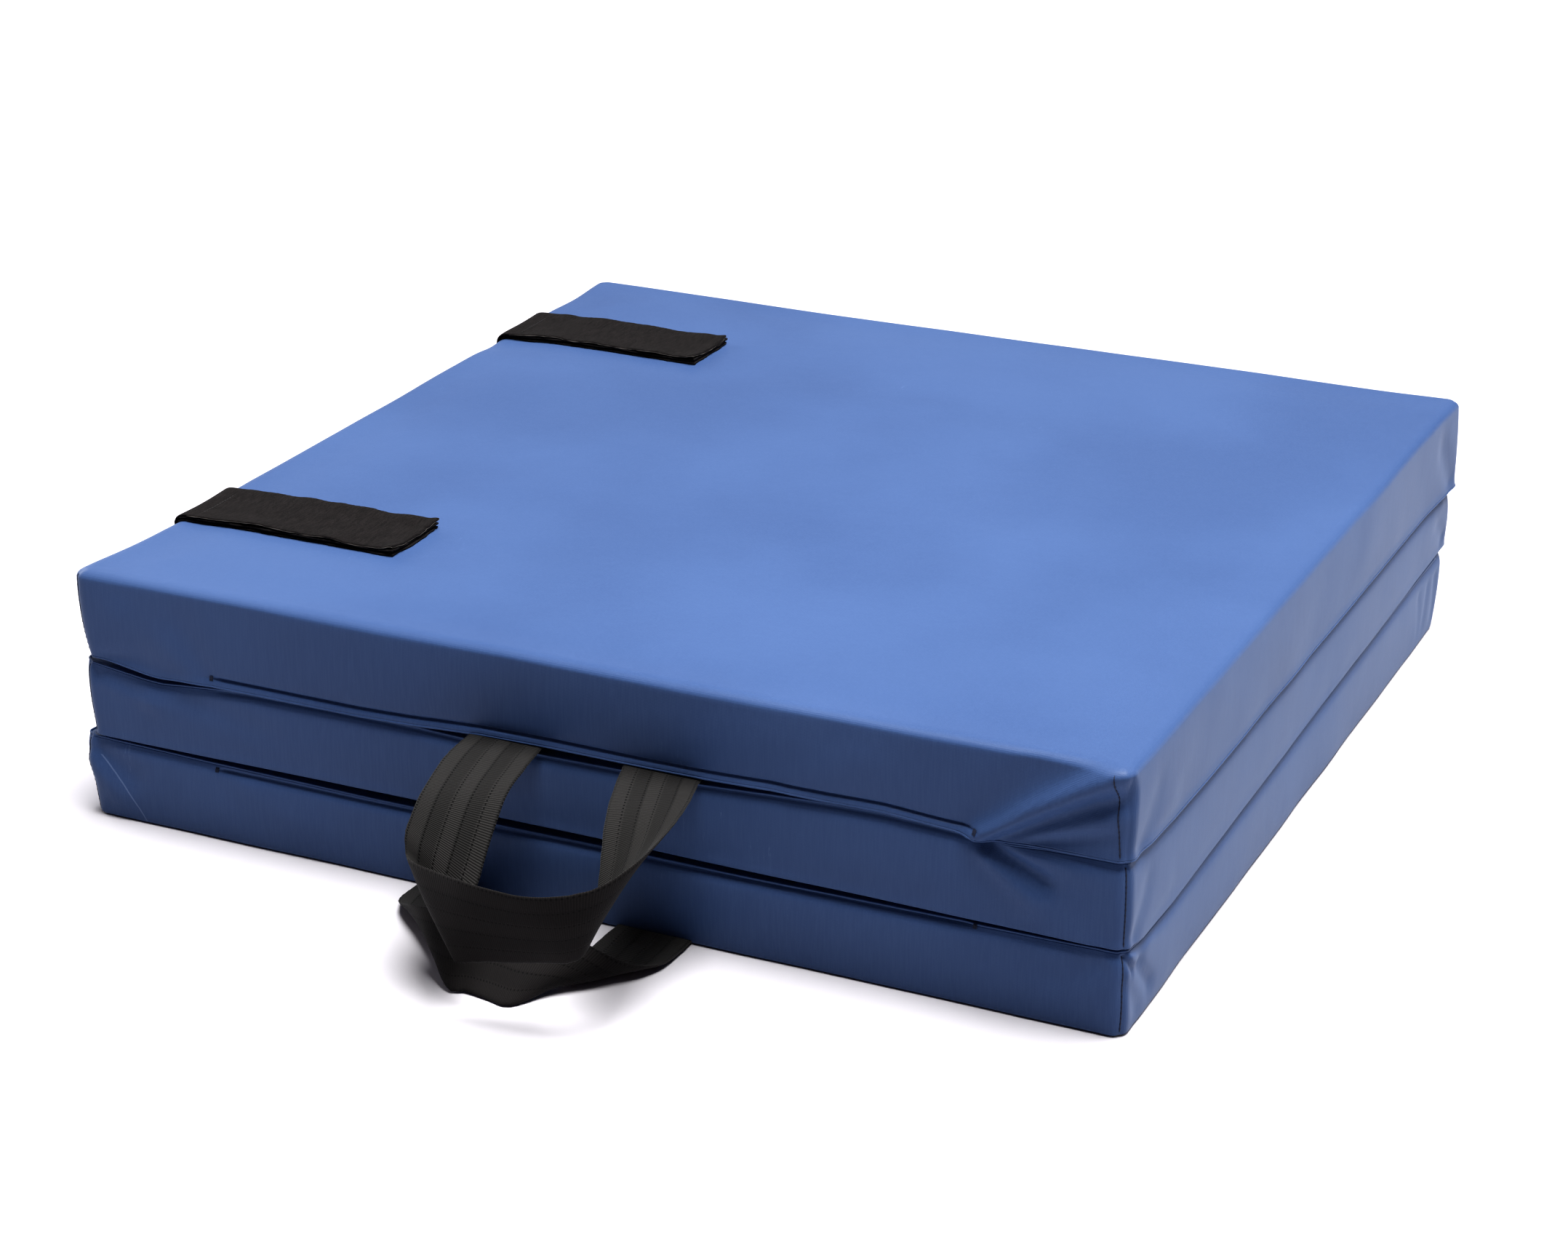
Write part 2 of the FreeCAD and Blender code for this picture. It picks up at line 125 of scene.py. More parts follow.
# ---------------- mesh helpers
def new_mesh(name, vertices, faces, material, nodes=(), body=None):
    """A smooth mesh object from points in mm. It rides on its body, if one is given, and takes
    the place of the CAD nodes."""
    mesh = bpy.data.meshes.new(name)
    mesh.from_pydata((np.array(vertices, float) * MM).tolist(), [], [tuple(f) for f in faces])
    mesh.validate()
    mesh.materials.append(material)
    mesh.polygons.foreach_set("use_smooth", [True] * len(mesh.polygons))
    item = bpy.data.objects.new(name, mesh)
    bpy.context.scene.collection.objects.link(item)
    if body:
        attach(item, body)
    if nodes:
        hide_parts(*nodes)
    return item


def steps(low, high, edge, fine, coarse):
    """Positions from low to high, fine within edge of either end and coarse between."""
    count = max(1, round(edge / fine))
    between = max(1, round((high - low - 2 * edge) / coarse))
    return np.concatenate([np.linspace(low, low + edge, count, endpoint=False),
                           np.linspace(low + edge, high - edge, between, endpoint=False),
                           np.linspace(high - edge, high, count + 1)])


def box_lattice(xs, ys, zs):
    """Vertices and faces of a box's surface, divided at the given positions."""
    places, index, points, faces = (xs, ys, zs), {}, [], []
    counts = [len(row) - 1 for row in places]

    def vertex(*key):
        if key not in index:
            index[key] = len(points)
            points.append([row[k] for row, k in zip(places, key)])
        return index[key]

    for axis in (2, 1, 0):
        first, second = (count for k, count in enumerate(counts) if k != axis)
        for a in range(first):
            for b in range(second):
                for end in (0, counts[axis]):
                    ring = [(a, b), (a + 1, b), (a + 1, b + 1), (a, b + 1)]
                    if (end > 0) == (axis == 1):
                        ring = [ring[k] for k in (0, 3, 2, 1)]
                    faces.append([vertex(*pair[:axis], end, *pair[axis:]) for pair in ring])
    return np.array(points, float), faces


def band_faces(count, wide):
    """Faces of a closed band of count rows by wide points, with its upper points first and its
    under points after them, and a mark for each face: 1 on the underside, else 0."""
    faces, marks = [], []
    total = count * wide
    for i in range(count - 1):
        for j in range(wide - 1):
            a, b = i * wide + j, i * wide + j + 1
            c, d = a + wide, b + wide
            faces += [(a, c, d, b), (total + a, total + b, total + d, total + c)]
            marks += [0, 1]
        for j in (0, wide - 1):
            a, c = i * wide + j, (i + 1) * wide + j
            faces.append((a, total + a, total + c, c) if j == 0 else (a, c, total + c, total + a))
            marks.append(0)
    for i in (0, count - 1):
        for j in range(wide - 1):
            a, b = i * wide + j, i * wide + j + 1
            faces.append((a, b, total + b, total + a) if i == 0 else (a, total + a, total + b, b))
            marks.append(0)
    return faces, marks


def rounded(points, low, high, corner, floor_round, top_round):
    """Points of a sharp box moved onto the same box with its edges rounded."""
    low, high = np.array(low, float), np.array(high, float)
    inner_low = low + (corner, corner, floor_round)
    inner_high = high - (corner, corner, top_round)
    core = np.clip(points, inner_low, inner_high)
    away = points - core
    reach = np.where(away[:, 2] < 0, floor_round, top_round)
    scaled = away / np.stack([np.full(len(points), corner)] * 2 + [reach], 1)
    size = np.linalg.norm(scaled, axis=1)
    size[size < 1e-9] = 1
    normal = scaled / size[:, None]
    return core + away / size[:, None], normal


# ---------------- materials
class Nodes:
    """A material and short ways to add its nodes."""

    def __init__(self, name, **values):
        self.material = bpy.data.materials.new(name)
        self.material.use_nodes = True
        self.tree = self.material.node_tree
        self.shader = self.tree.nodes["Principled BSDF"]
        for key, value in values.items():
            self.shader.inputs[key.replace("_", " ")].default_value = value

    def add(self, kind, links=(), **settings):
        """A node with its settings and its linked or plain inputs."""
        node = self.tree.nodes.new("ShaderNode" + kind)
        for key, value in settings.items():
            setattr(node, key, value)
        for socket, value in dict(links).items():
            if isinstance(value, bpy.types.NodeSocket):
                self.tree.links.new(value, node.inputs[socket])
            else:
                node.inputs[socket].default_value = value
        return node

    def link(self, output, socket):
        self.tree.links.new(output, self.shader.inputs[socket])

    def math(self, operation, first, second=0.5, third=0.0):
        node = self.add("Math", {0: first, 1: second, 2: third}, operation=operation)
        return node.outputs[0]

    def noise(self, vector, scale, detail=2.0, rough=0.5):
        node = self.add("TexNoise", {"Vector": vector, "Scale": scale, "Detail": detail,
                                     "Roughness": rough})
        return node.outputs[0]

    def ramp(self, value, low, high, low_out=0.0, high_out=1.0):
        node = self.add("MapRange", {0: value, 1: low, 2: high, 3: low_out, 4: high_out},
                        interpolation_type="SMOOTHSTEP")
        return node.outputs[0]

    def mix(self, share, first, second):
        node = self.add("Mix", {0: share, 6: first, 7: second}, data_type="RGBA")
        return node.outputs[2]

    def bump(self, height, distance, strength=1.0, normal=None):
        links = {"Height": height, "Distance": distance, "Strength": strength}
        if normal:
            links["Normal"] = normal
        return self.add("Bump", links).outputs[0]


def place_coordinates(nodes, scale=(1, 1, 1)):
    """Object coordinates, stretched by scale."""
    where = nodes.add("TexCoord").outputs["Object"]
    return nodes.add("Mapping", {"Vector": where, "Scale": scale}).outputs[0]


# The curved scratch low on the front wall, beside the left corner: a thin arc, in metres.
SCRATCH_CENTRE = (-0.3732, -0.0490)
SCRATCH_RADIUS = 0.1124
SCRATCH_HALF_WIDTHS = (0.0002, 0.0006)
SCRATCH_TOP = 0.037
FRONT_WALL = -0.298


def scratch(m):
    """1 on the scratch and 0 elsewhere."""
    x, y, z = m.add("SeparateXYZ", {0: place_coordinates(m)}).outputs
    run = m.math("SUBTRACT", x, SCRATCH_CENTRE[0])
    rise = m.math("SUBTRACT", z, SCRATCH_CENTRE[1])
    length = m.math("SQRT", m.math("MULTIPLY_ADD", run, run, m.math("MULTIPLY", rise, rise)))
    off = m.math("ABSOLUTE", m.math("SUBTRACT", length, SCRATCH_RADIUS))
    line = m.ramp(off, *SCRATCH_HALF_WIDTHS, 1.0, 0.0)
    in_front = m.math("LESS_THAN", y, FRONT_WALL)
    low_down = m.math("LESS_THAN", z, SCRATCH_TOP)
    return m.math("MULTIPLY", line, m.math("MULTIPLY", in_front, low_down))


def vinyl_material():
    """Blue coated cloth: a fine woven grain under a smooth skin, with faint scuffs."""
    m = Nodes("vinyl_blue", Roughness=0.42, IOR=1.5, Sheen_Weight=0.10, Sheen_Roughness=0.35,
              Sheen_Tint=(0.55, 0.72, 1.0, 1.0), Specular_IOR_Level=0.11)
    where = place_coordinates(m)
    deep, light = (0.031, 0.0585, 0.140, 1), (0.038, 0.0695, 0.160, 1)
    cloudy = m.ramp(m.noise(where, 6.0, 3.0), 0.3, 0.7)
    colour = m.mix(cloudy, deep, light)
    weave = m.ramp(m.noise(place_coordinates(m, (900, 900, 45)), 1.0, 2.0, 0.6), 0.35, 0.70)
    colour = m.mix(m.math("MULTIPLY", weave, 0.17), colour, (0.056, 0.097, 0.20, 1))
    scratches = m.noise(place_coordinates(m, (420, 60, 60)), 1.0, 4.0, 0.7)
    patches = m.ramp(m.noise(where, 9.0, 2.0), 0.60, 0.78)
    scuff = m.math("MULTIPLY", m.ramp(scratches, 0.62, 0.74), patches)
    colour = m.mix(m.math("MULTIPLY", scuff, 0.20), colour, (0.22, 0.32, 0.52, 1))
    colour = m.mix(m.math("MULTIPLY", scratch(m), 0.28), colour, (0.20, 0.27, 0.44, 1))
    m.link(colour, "Base Color")
    m.link(m.math("MULTIPLY_ADD", cloudy, 0.06, 0.42), "Roughness")
    waves = [m.add("TexWave", {"Vector": where, "Scale": 420.0, "Distortion": 1.2, "Detail": 1.0},
                   bands_direction=direction).outputs[1] for direction in "XYZ"]
    grain = m.math("ADD", m.math("ADD", waves[0], waves[1]), waves[2])
    fine = m.bump(grain, 0.00005, 0.35)
    soft = m.bump(m.noise(where, 22.0, 3.0), 0.0012, 0.25, fine)
    m.link(soft, "Normal")
    return m.material


# Lengths of the webbing's pattern, in metres: between ribs, rows of dashes, and dashes.
RIB_PITCH = 0.00112
ROW_PITCH = 0.0088
DASH_PITCH = 0.0022
# Added to the place across the webbing, so that it is never below zero.
ROW_SHIFT = 0.1


def webbing_material(name, dark, light, rib_depth):
    """Ribbed webbing: ribs across it, and rows of dashes along it. Its colour rises and falls with
    the ribs: a painted highlight on each rib's crest and painted shade between the ribs.
    """
    m = Nodes(name, Roughness=0.8, Sheen_Weight=0.05, Sheen_Roughness=0.45,
              Specular_IOR_Level=0.10)
    weave = m.add("Attribute", attribute_name="weave").outputs["Vector"]
    across, along, _ = m.add("SeparateXYZ", {0: weave}).outputs

    def weave_noise(scale, detail):
        return m.noise(m.add("Mapping", {"Vector": weave, "Scale": scale}).outputs[0], 1.0, detail)

    uneven = m.math("MULTIPLY", weave_noise((900, 300, 1), 2.0), 0.9)
    turns = m.math("MULTIPLY", along, 2 * math.pi / RIB_PITCH)
    rib = m.math("MULTIPLY_ADD", m.math("SINE", m.math("ADD", turns, uneven)), 0.5, 0.5)
    rows = m.math("DIVIDE", m.math("ADD", across, ROW_SHIFT), ROW_PITCH)
    off_row = m.math("ABSOLUTE", m.math("SUBTRACT", m.math("FRACT", rows), 0.5))
    in_row = m.ramp(off_row, 0.03, 0.075, 1.0, 0.0)
    dash = m.ramp(m.math("FRACT", m.math("DIVIDE", along, DASH_PITCH)), 0.45, 0.6)
    dashes = m.math("MULTIPLY", in_row, dash)
    band = m.ramp(m.math("SINE", m.math("MULTIPLY", across, math.pi / ROW_PITCH)), -0.2, 0.2)
    speck = m.math("MULTIPLY", weave_noise((2600, 1500, 1), 1.0), 0.38)
    # The rib wave in the colour is painted highlight on the crests and painted shade in the gaps; the
    # bump gives the ribs their real relief.
    tone = m.math("MULTIPLY_ADD", rib, 0.62, speck)
    tone = m.math("MULTIPLY", tone, m.math("MULTIPLY_ADD", band, 0.38, 0.62))
    colour = m.mix(tone, dark, light)
    colour = m.mix(dashes, colour, tuple(0.35 * c for c in dark[:3]) + (1,))
    m.link(colour, "Base Color")
    height = m.math("SUBTRACT", rib, m.math("MULTIPLY", dashes, 1.4))
    m.link(m.bump(height, rib_depth, 0.8), "Normal")
    return m.material


def tape_material():
    """Black hook-and-loop tape: dead matt, a little fuzzy."""
    m = Nodes("hook_loop_black", Roughness=0.95, Sheen_Weight=0.02, Sheen_Roughness=0.6,
              Specular_IOR_Level=0.05)
    where = place_coordinates(m)
    fuzz = m.noise(where, 1500.0, 3.0, 0.7)
    streaks = m.noise(place_coordinates(m, (1300, 130, 1300)), 1.0, 2.0)
    tone = m.math("MULTIPLY_ADD", fuzz, 0.6, m.math("MULTIPLY", streaks, 0.4))
    m.link(m.mix(m.ramp(tone, 0.36, 0.68), (0.0008, 0.0006, 0.0006, 1), (0.0105, 0.0085, 0.0085, 1)),
           "Base Color")
    m.link(m.bump(tone, 0.0004, 0.9), "Normal")
    return m.material


def thread_material(name, colour):
    """Twisted sewing thread."""
    m = Nodes(name, Roughness=0.7, Specular_IOR_Level=0.3)
    twist = m.add("TexWave", {"Vector": place_coordinates(m), "Scale": 900.0}).outputs[1]
    dark = tuple(0.5 * c for c in colour[:3]) + (1,)
    m.link(m.mix(twist, dark, colour), "Base Color")
    m.link(m.bump(twist, 0.0001, 0.6), "Normal")
    return m.material


def plain_material(name, dark, light, scale, roughness, metallic=0.0, depth=0.0002):
    """A slightly mottled material, for what lies hidden and for loose fibres."""
    m = Nodes(name, Roughness=roughness, Metallic=metallic)
    mottle = m.noise(place_coordinates(m), scale, 3.0)
    m.link(m.mix(mottle, dark, light), "Base Color")
    m.link(m.bump(mottle, depth, 0.5), "Normal")
    return m.material


VINYL = vinyl_material()
# Each webbing's light colour is the painted highlight on its rib crests, and its dark colour the
# painted shade between them.
WEBBING = webbing_material("webbing_ribbed", (0.0004, 0.0004, 0.0004, 1), (0.0270, 0.0256, 0.0246, 1),
                           0.00025)
WEBBING_BACK = webbing_material("webbing_smooth", (0.003, 0.0025, 0.0026, 1),
                                (0.011, 0.0095, 0.0095, 1), 0.00010)
TAPE = tape_material()
THREAD = thread_material("thread_dark", (0.012, 0.018, 0.045, 1))
FRAY = plain_material("frayed_fibre", (0.004, 0.0035, 0.003, 1), (0.085, 0.072, 0.060, 1), 160.0, 0.9)
THREAD_BLACK = thread_material("thread_black", (0.014, 0.014, 0.015, 1))
FOAM = plain_material("foam", (0.62, 0.62, 0.60, 1), (0.80, 0.80, 0.77, 1), 260.0, 0.9)
ZIP_CLOTH = plain_material("zip_blue", (0.008, 0.014, 0.045, 1), (0.014, 0.024, 0.07, 1), 900.0,
                           0.7)
ZIP_METAL = plain_material("zip_metal", (0.02, 0.03, 0.07, 1), (0.03, 0.045, 0.10, 1), 300.0, 0.4,
                           0.6, 0.00003)

# ---------------- panel covers
# Roundings of a cover, in mm: its upright corners, its seam edge, and the rim of its closed face.
CORNER_ROUND = 8.0
SEAM_ROUND = 1.4
RIM_ROUND = {"bottom": 1.2, "middle": 2.2, "top": 4.8}
# The slots that hide the zips, in mm: their distance from the seam edge at the left end and at
# the right end, their depth, and the widths of the slot itself and of the valley round it.
SLOT_RISE = {"bottom": (3.8, 1.4), "middle": (1.8, 1.8), "top": (5.0, 4.6)}
SLOT_DEPTH = {"bottom": 2.0, "middle": 0.8, "top": 2.2}
SLOT_HALF = 223.0
SLOT_WIDTHS = (0.75, 2.6)


def panel_box(panel):
    """Lowest and highest corner of a panel's cover, in mm."""
    shell_low, shell_high = node_box(f"cover_shell_{panel}")
    sheet_low, sheet_high = node_box(f"cover_sheet_{panel}")
    return np.minimum(shell_low, sheet_low), np.maximum(shell_high, sheet_high)


BOXES = {panel: panel_box(panel) for panel in PANELS}
SEAM_UP = {"bottom": True, "middle": True, "top": False}
HALF_X, HALF_Y = BOXES["top"][1][:2]
CORNER_X, CORNER_Y = HALF_X - CORNER_ROUND, HALF_Y - CORNER_ROUND

# Height of each seam edge over its plain level, as (place along the side, height) in mm. It is
# below zero where the edge hangs. The last is the middle panel's lower edge.
FRONT_DROP = {
    "top": ((-304, -1.0), (-294, -1.4), (-283, -2.9), (-266, -5.6), (-257, -6.2), (-243, -5.4),
            (-224, -5.0), (-170, -4.9), (-132, -4.8), (-90, -3.4), (-56, -1.6), (-13, -0.7),
            (40, -0.9), (71, -0.6), (112, 0.6), (144, 0.3), (174, 0.7), (204, -1.2),
            (223, -2.8), (233, -3.6), (261, -2.0), (304, -1.2)),
    "middle": ((-304, -2.0), (-294, -3.4), (-283, -4.9), (-270, -6.6), (-257, -7.2), (-240, -5.8),
               (-224, -4.4), (-200, -2.8), (-132, -2.2), (-95, -2.4), (-60, -3.8), (-18, -4.0),
               (30, -3.2), (73, -2.3), (112, 0.0), (144, 1.4), (174, 2.0), (204, 0.8),
               (233, -1.2), (261, 0.4), (304, 0.9)),
    "bottom": ((-304, 1.2), (-290, 0.8), (-260, 0.3), (-210, -0.4), (-120, -1.5), (-40, -1.5),
               (60, -1.2), (160, -0.8), (240, -0.1), (304, 0.6)),
}
UNDER_DROP = ((-304, -0.8), (-270, -0.8), (-210, -0.2), (-120, 0.3), (-40, 0.3), (60, 0.0),
              (160, -0.4), (240, -1.0), (304, -1.4))
# How far in from its side a seam edge still hangs.
HANG_REACH = 70.0
# The right side closes its gaps: the middle panel reaches up and down to its neighbours.
RIGHT_CLOSE = 1.6
RIGHT_DROP = {
    "top": ((-304, -1.2), (-296, -2.6), (-240, -4.2), (-141, -5.1), (0, -5.6), (150, -6.4),
            (280, -7.6), (304, -7.7)),
    "bottom": ((-304, 0.8), (-281, -5.2), (-230, -4.4), (-133, -2.6), (0, -1.2), (140, 0.8),
               (280, 2.4), (304, 2.6)),
}


def table(place, pairs):
    """Values at places along a line, from (place, value) pairs."""
    return np.interp(place, [p[0] for p in pairs], [p[1] for p in pairs])


def off_seam(panel, rise):
    """Height of the level that lies this far in from a panel's seam edge, in mm."""
    low, high = BOXES[panel]
    return high[2] - rise if SEAM_UP[panel] else low[2] + rise


def end_rounds(panel):
    """Rounding of a cover's lower and upper edges."""
    rounds = (RIM_ROUND[panel], SEAM_ROUND)
    return rounds if SEAM_UP[panel] else rounds[::-1]


def seam_drop(x, y, front_pairs, right_pairs):
    """The hang of a seam edge over the whole panel; it fades towards the inside."""
    front = 1 - smoothstep(y + HALF_Y, 0, HANG_REACH)
    right = 1 - smoothstep(HALF_X - x, 0, HANG_REACH)
    drop = front * front * table(x, front_pairs) + right * right * table(y, right_pairs)
    return drop / np.maximum(front + right, 1e-6)


def hanging(panel, points):
    """Rise of each point of a panel over its plain place, in mm, below zero where it hangs. It is
    strongest at the seam edge and gone at the other face."""
    x, y, z = points.T
    low, high = BOXES[panel]
    share = (z - low[2]) / (high[2] - low[2])
    if panel == "top":
        edge = seam_drop(x, y, FRONT_DROP["top"], RIGHT_DROP["top"])
        return edge * (1 - smoothstep(share, 0.0, 0.85))
    if panel == "middle":
        over_right, under_right = (
            [(place, drop + close) for place, drop in RIGHT_DROP[neighbour]]
            for neighbour, close in (("top", RIGHT_CLOSE), ("bottom", -RIGHT_CLOSE)))
        over = seam_drop(x, y, FRONT_DROP["middle"], over_right)
        under = seam_drop(x, y, UNDER_DROP, under_right)
        return over * smoothstep(share, 0.1, 1.0) + under * (1 - smoothstep(share, 0.0, 0.9))
    edge = seam_drop(x, y, FRONT_DROP["bottom"], RIGHT_DROP["bottom"])
    return edge * smoothstep(share, 0.15, 1.0)


def wall_parts(points):
    """How much each point belongs to the front, back, left and right wall, from 0 to 1."""
    x, y, _ = points.T
    return [1 - smoothstep(inside, 1.0, CORNER_ROUND)
            for inside in (y + HALF_Y, HALF_Y - y, x + HALF_X, HALF_X - x)]


# Pulled folds of the front and the right walls, in mm: start and end (place along the wall, then
# height), width, height out of the wall (below zero for a groove), and the share it widens by.
FRONT_FOLDS = {
    "top": (
        ((222, 97.5), (304, 147), 4.6, 6.4, 0.5), ((230, 96.0), (304, 132), 3.8, -5.4, 0.8),
        ((234, 96.5), (300, 124), 3.0, 3.2, 0.6), ((238, 96.0), (300, 112), 3.0, -1.4, 0.6),
        ((214, 100), (262, 148), 7.0, -1.2, 0.3), ((-226, 95), (-262, 122), 6.0, 0.9, 0.4),
        ((-224, 99), (-246, 134), 7.0, -0.9, 0.4), ((-300, 99), (-278, 132), 6.0, 1.0, 0.4),
        ((-298, 97), (-262, 108), 4.0, -1.0, 0.4), ((120, 102), (176, 128), 9.0, 0.7, 0.3),
        ((-90, 100), (-20, 122), 10.0, -0.7, 0.3)),
    "middle": (
        ((227, 94.5), (266, 74), 3.2, -4.2, 0.7), ((228, 89.0), (262, 64), 4.6, 3.6, 0.6),
        ((234, 95.0), (290, 84), 4.5, 1.4, 0.4), ((-298, 90.0), (-268, 84), 5.0, -1.7, 0.5),
        ((-292, 86.0), (-252, 78), 5.0, 1.4, 0.5), ((-246, 89.0), (-180, 70), 7.0, -0.9, 0.4),
        ((286, 52.0), (240, 62), 6.0, 0.8, 0.4)),
    "bottom": (
        ((-298, 41), (-272, 24), 6.0, -1.8, 0.5), ((-302, 34), (-282, 8), 6.0, 1.6, 0.3),
        ((292, 40), (262, 22), 6.0, -1.2, 0.4), ((-210, 36), (-150, 18), 9.0, 0.7, 0.4)),
}
RIGHT_FOLDS = {
    "top": (
        ((-292, 98), (-262, 128), 7.0, -0.7, 0.3), ((-282, 97), (-236, 112), 7.0, 0.6, 0.4),
        ((292, 102), (262, 132), 7.0, -1.3, 0.3)),
    "middle": (
        ((-298, 52), (-272, 82), 6.0, -1.0, 0.3), ((-288, 54), (-240, 68), 6.0, 0.8, 0.4),
        ((294, 58), (268, 84), 7.0, -1.3, 0.3), ((288, 88), (240, 74), 6.0, 0.9, 0.3)),
    "bottom": (
        ((-290, 38), (-264, 10), 5.0, -2.2, 0.3), ((-303, 44), (-295, 33), 1.8, -1.8, 0.4),
        ((-300, 44), (-288, 38), 2.0, 1.6, 0.4), ((-276, 38), (-240, 12), 7.0, 1.5, 0.3),
        ((-302, 30), (-284, 4), 5.0, -1.2, 0.3), ((288, 36), (293, 8), 5.0, -0.9, 0.3),
        ((270, 36), (263, 8), 5.0, -0.6, 0.3), ((243, 36), (252, 8), 5.0, -0.5, 0.3)),
}


def tension_folds(panel, points):
    """Outward height of the walls' folds, in mm: pulled at the front and right, soft elsewhere."""
    x, y, z = points.T
    front, back, left, right = wall_parts(points)
    height = 1.1 * back * wavy(points, 60, 5, (1.4, 1, 0.5))
    height += 0.9 * left * wavy(points, 60, 6, (1, 1.4, 0.5))
    for row in FRONT_FOLDS[panel]:
        height += front * fold(x, z, *row)
    for row in RIGHT_FOLDS[panel]:
        height += right * fold(y, z, *row)
    return height


def slot_rise(panel, x):
    """Distance of the slot from the seam edge at each place along the front, in mm."""
    return np.interp(x, (-SLOT_HALF, SLOT_HALF), SLOT_RISE[panel])


def slot_crease(panel, points):
    """Inward depth of the slot that hides the zip, in mm, on the front wall."""
    x, _, z = points.T
    low, high = BOXES[panel]
    rise = (high[2] - z) if SEAM_UP[panel] else (z - low[2])
    along = 1 - smoothstep(np.abs(x), SLOT_HALF - 6, SLOT_HALF + 3)
    front = wall_parts(points)[0]
    off = rise - slot_rise(panel, x)
    narrow, valley = (bell(off, width) for width in SLOT_WIDTHS)
    return front * along * SLOT_DEPTH[panel] * (narrow + 0.2 * valley)


def puffing(panel, points, normal):
    """Slow swelling of the filled cover along its own surface direction, in mm."""
    low, high = BOXES[panel]
    middle = (low[2] + high[2]) / 2
    half = (high[2] - low[2]) / 2
    x, y, z = points.T
    wall = np.clip(1 - np.abs(normal[:, 2]), 0, 1)
    crown = 1 - ((z - middle) / half) ** 2
    swell = wall * (1.3 * crown - 0.5)
    swell += wall * (0.9 * wavy(points, 95, 11, (1, 1, 0.7))
                     + 0.35 * wavy(points, 32, 12, (1.3, 1.3, 0.8)))
    flat = np.abs(normal[:, 2])
    reach = np.minimum(HALF_X - np.abs(x), HALF_Y - np.abs(y))
    closed = (z > middle) != SEAM_UP[panel]
    swell += flat * closed * (0.5 * wavy(points, 150, 13) + 0.25 * wavy(points, 48, 14)
                              - 0.8 * bell(reach - 20, 16))
    return swell


def seam_groove(points):
    """Inward dip along the sewn vertical corners, in mm."""
    x, y = np.abs(points[:, 0]), np.abs(points[:, 1])
    across = np.abs(x - CORNER_X) - np.abs(y - CORNER_Y)
    corner = smoothstep(x, HALF_X - 9, HALF_X - 4) * smoothstep(y, HALF_Y - 9, HALF_Y - 4)
    return 0.7 * corner * bell(across, 2.0)


def overhang(panel, points):
    """Outward shift near the gaps in mm: each upper edge tucks in under the panel above it."""
    z = points[:, 2]
    low, high = BOXES[panel]
    front, _, _, right = wall_parts(points)
    side = np.maximum(front, right)
    shift = np.zeros(len(points))
    if panel != "bottom":
        shift += 1.0 * bell(z - low[2], 3.5)
    if panel != "top":
        shift -= 1.8 * bell(z - high[2], 4.0)
    return side * shift


# Lean of the corners at the front left and at the top's back right, in mm.
FRONT_LEFT_LEAN = 6.4
BACK_RIGHT_LEAN = 2.6
# Middle lines of the two straps, which press the top panel's left rim down.
STRAP_LINES = (-191, 185)


def settling(panel, points):
    """Shift of each point of a soft panel, cover and foam alike: its hang and leaning corners."""
    low, high = BOXES[panel]
    x, y, z = points.T
    share = np.clip((z - low[2]) / (high[2] - low[2]), 0, 1)
    front_left = bell(x + HALF_X, 22) * bell(y + HALF_Y, 36)
    back_right = smoothstep(y, 150, 300) * smoothstep(x, 150, 300)
    shift = np.zeros_like(points)
    shift[:, 2] += hanging(panel, points)
    shift[:, 0] -= FRONT_LEFT_LEAN * front_left
    if panel == "top":
        corner = bell(x - HALF_X, 30) * bell(y - HALF_Y, 40)
        shift[:, 0] += corner * (BACK_RIGHT_LEAN - 1.6 * share)
        shift[:, 1] += corner * 2.0
        shift[:, 0] += 5.0 * front_left * (1 - share) ** 2.4
        pressed = bell(x + HALF_X, 26) * sum(bell(y - line, 26) for line in STRAP_LINES)
        pinch = bell(x + HALF_X, 22) * bell(y - 262, 26) + bell(x + HALF_X, 18) * bell(y - 146, 14)
        dip = bell(y - HALF_Y + 30, 30) * bell(x + 120, 80)
        shift[:, 2] -= (pressed + 1.6 * pinch + 1.2 * dip) * share
    elif panel == "middle":
        shift[:, 1] -= 3.0 * back_right
        shift[:, 0] += front_left * (4.0 - 3.0 * share)
    else:
        shift[:, 1] -= back_right * (8 + 12 * (1 - share)) * smoothstep(y, 180, 300)
        shift[:, 0] -= front_left * (4.4 * smoothstep(share, 0.3, 1.0) - 2.2)
    return shift


# The side walls that meet another panel's when the mat lies flat, and how far before the fold
# line they start to be held back, so that they hardly bulge past it, in mm.
HINGE_SIDES = {"bottom": (1,), "middle": (1, -1), "top": (-1,)}
HINGE_PLAY = 0.25


def sculpt(panel, points, normal):
    """Points of a plain rounded panel moved to where the soft cover really lies."""
    low, _ = BOXES[panel]
    away = normal.copy()
    away[:, 2] *= 0.25
    size = np.linalg.norm(away, axis=1)
    away /= np.maximum(size, 1e-6)[:, None]
    wall = np.clip(np.hypot(normal[:, 0], normal[:, 1]), 0, 1)
    out = (tension_folds(panel, points) - slot_crease(panel, points)
           + overhang(panel, points) - seam_groove(points)) * wall
    moved = points + away * out[:, None] + normal * puffing(panel, points, normal)[:, None]
    for side in HINGE_SIDES[panel]:
        past = np.maximum(side * moved[:, 0] - HALF_X + HINGE_PLAY, 0)
        moved[:, 0] += side * (np.tanh(past) - past)
    moved += settling(panel, points)
    if panel == "bottom":
        moved[:, 2] = np.maximum(moved[:, 2], low[2])
    return moved


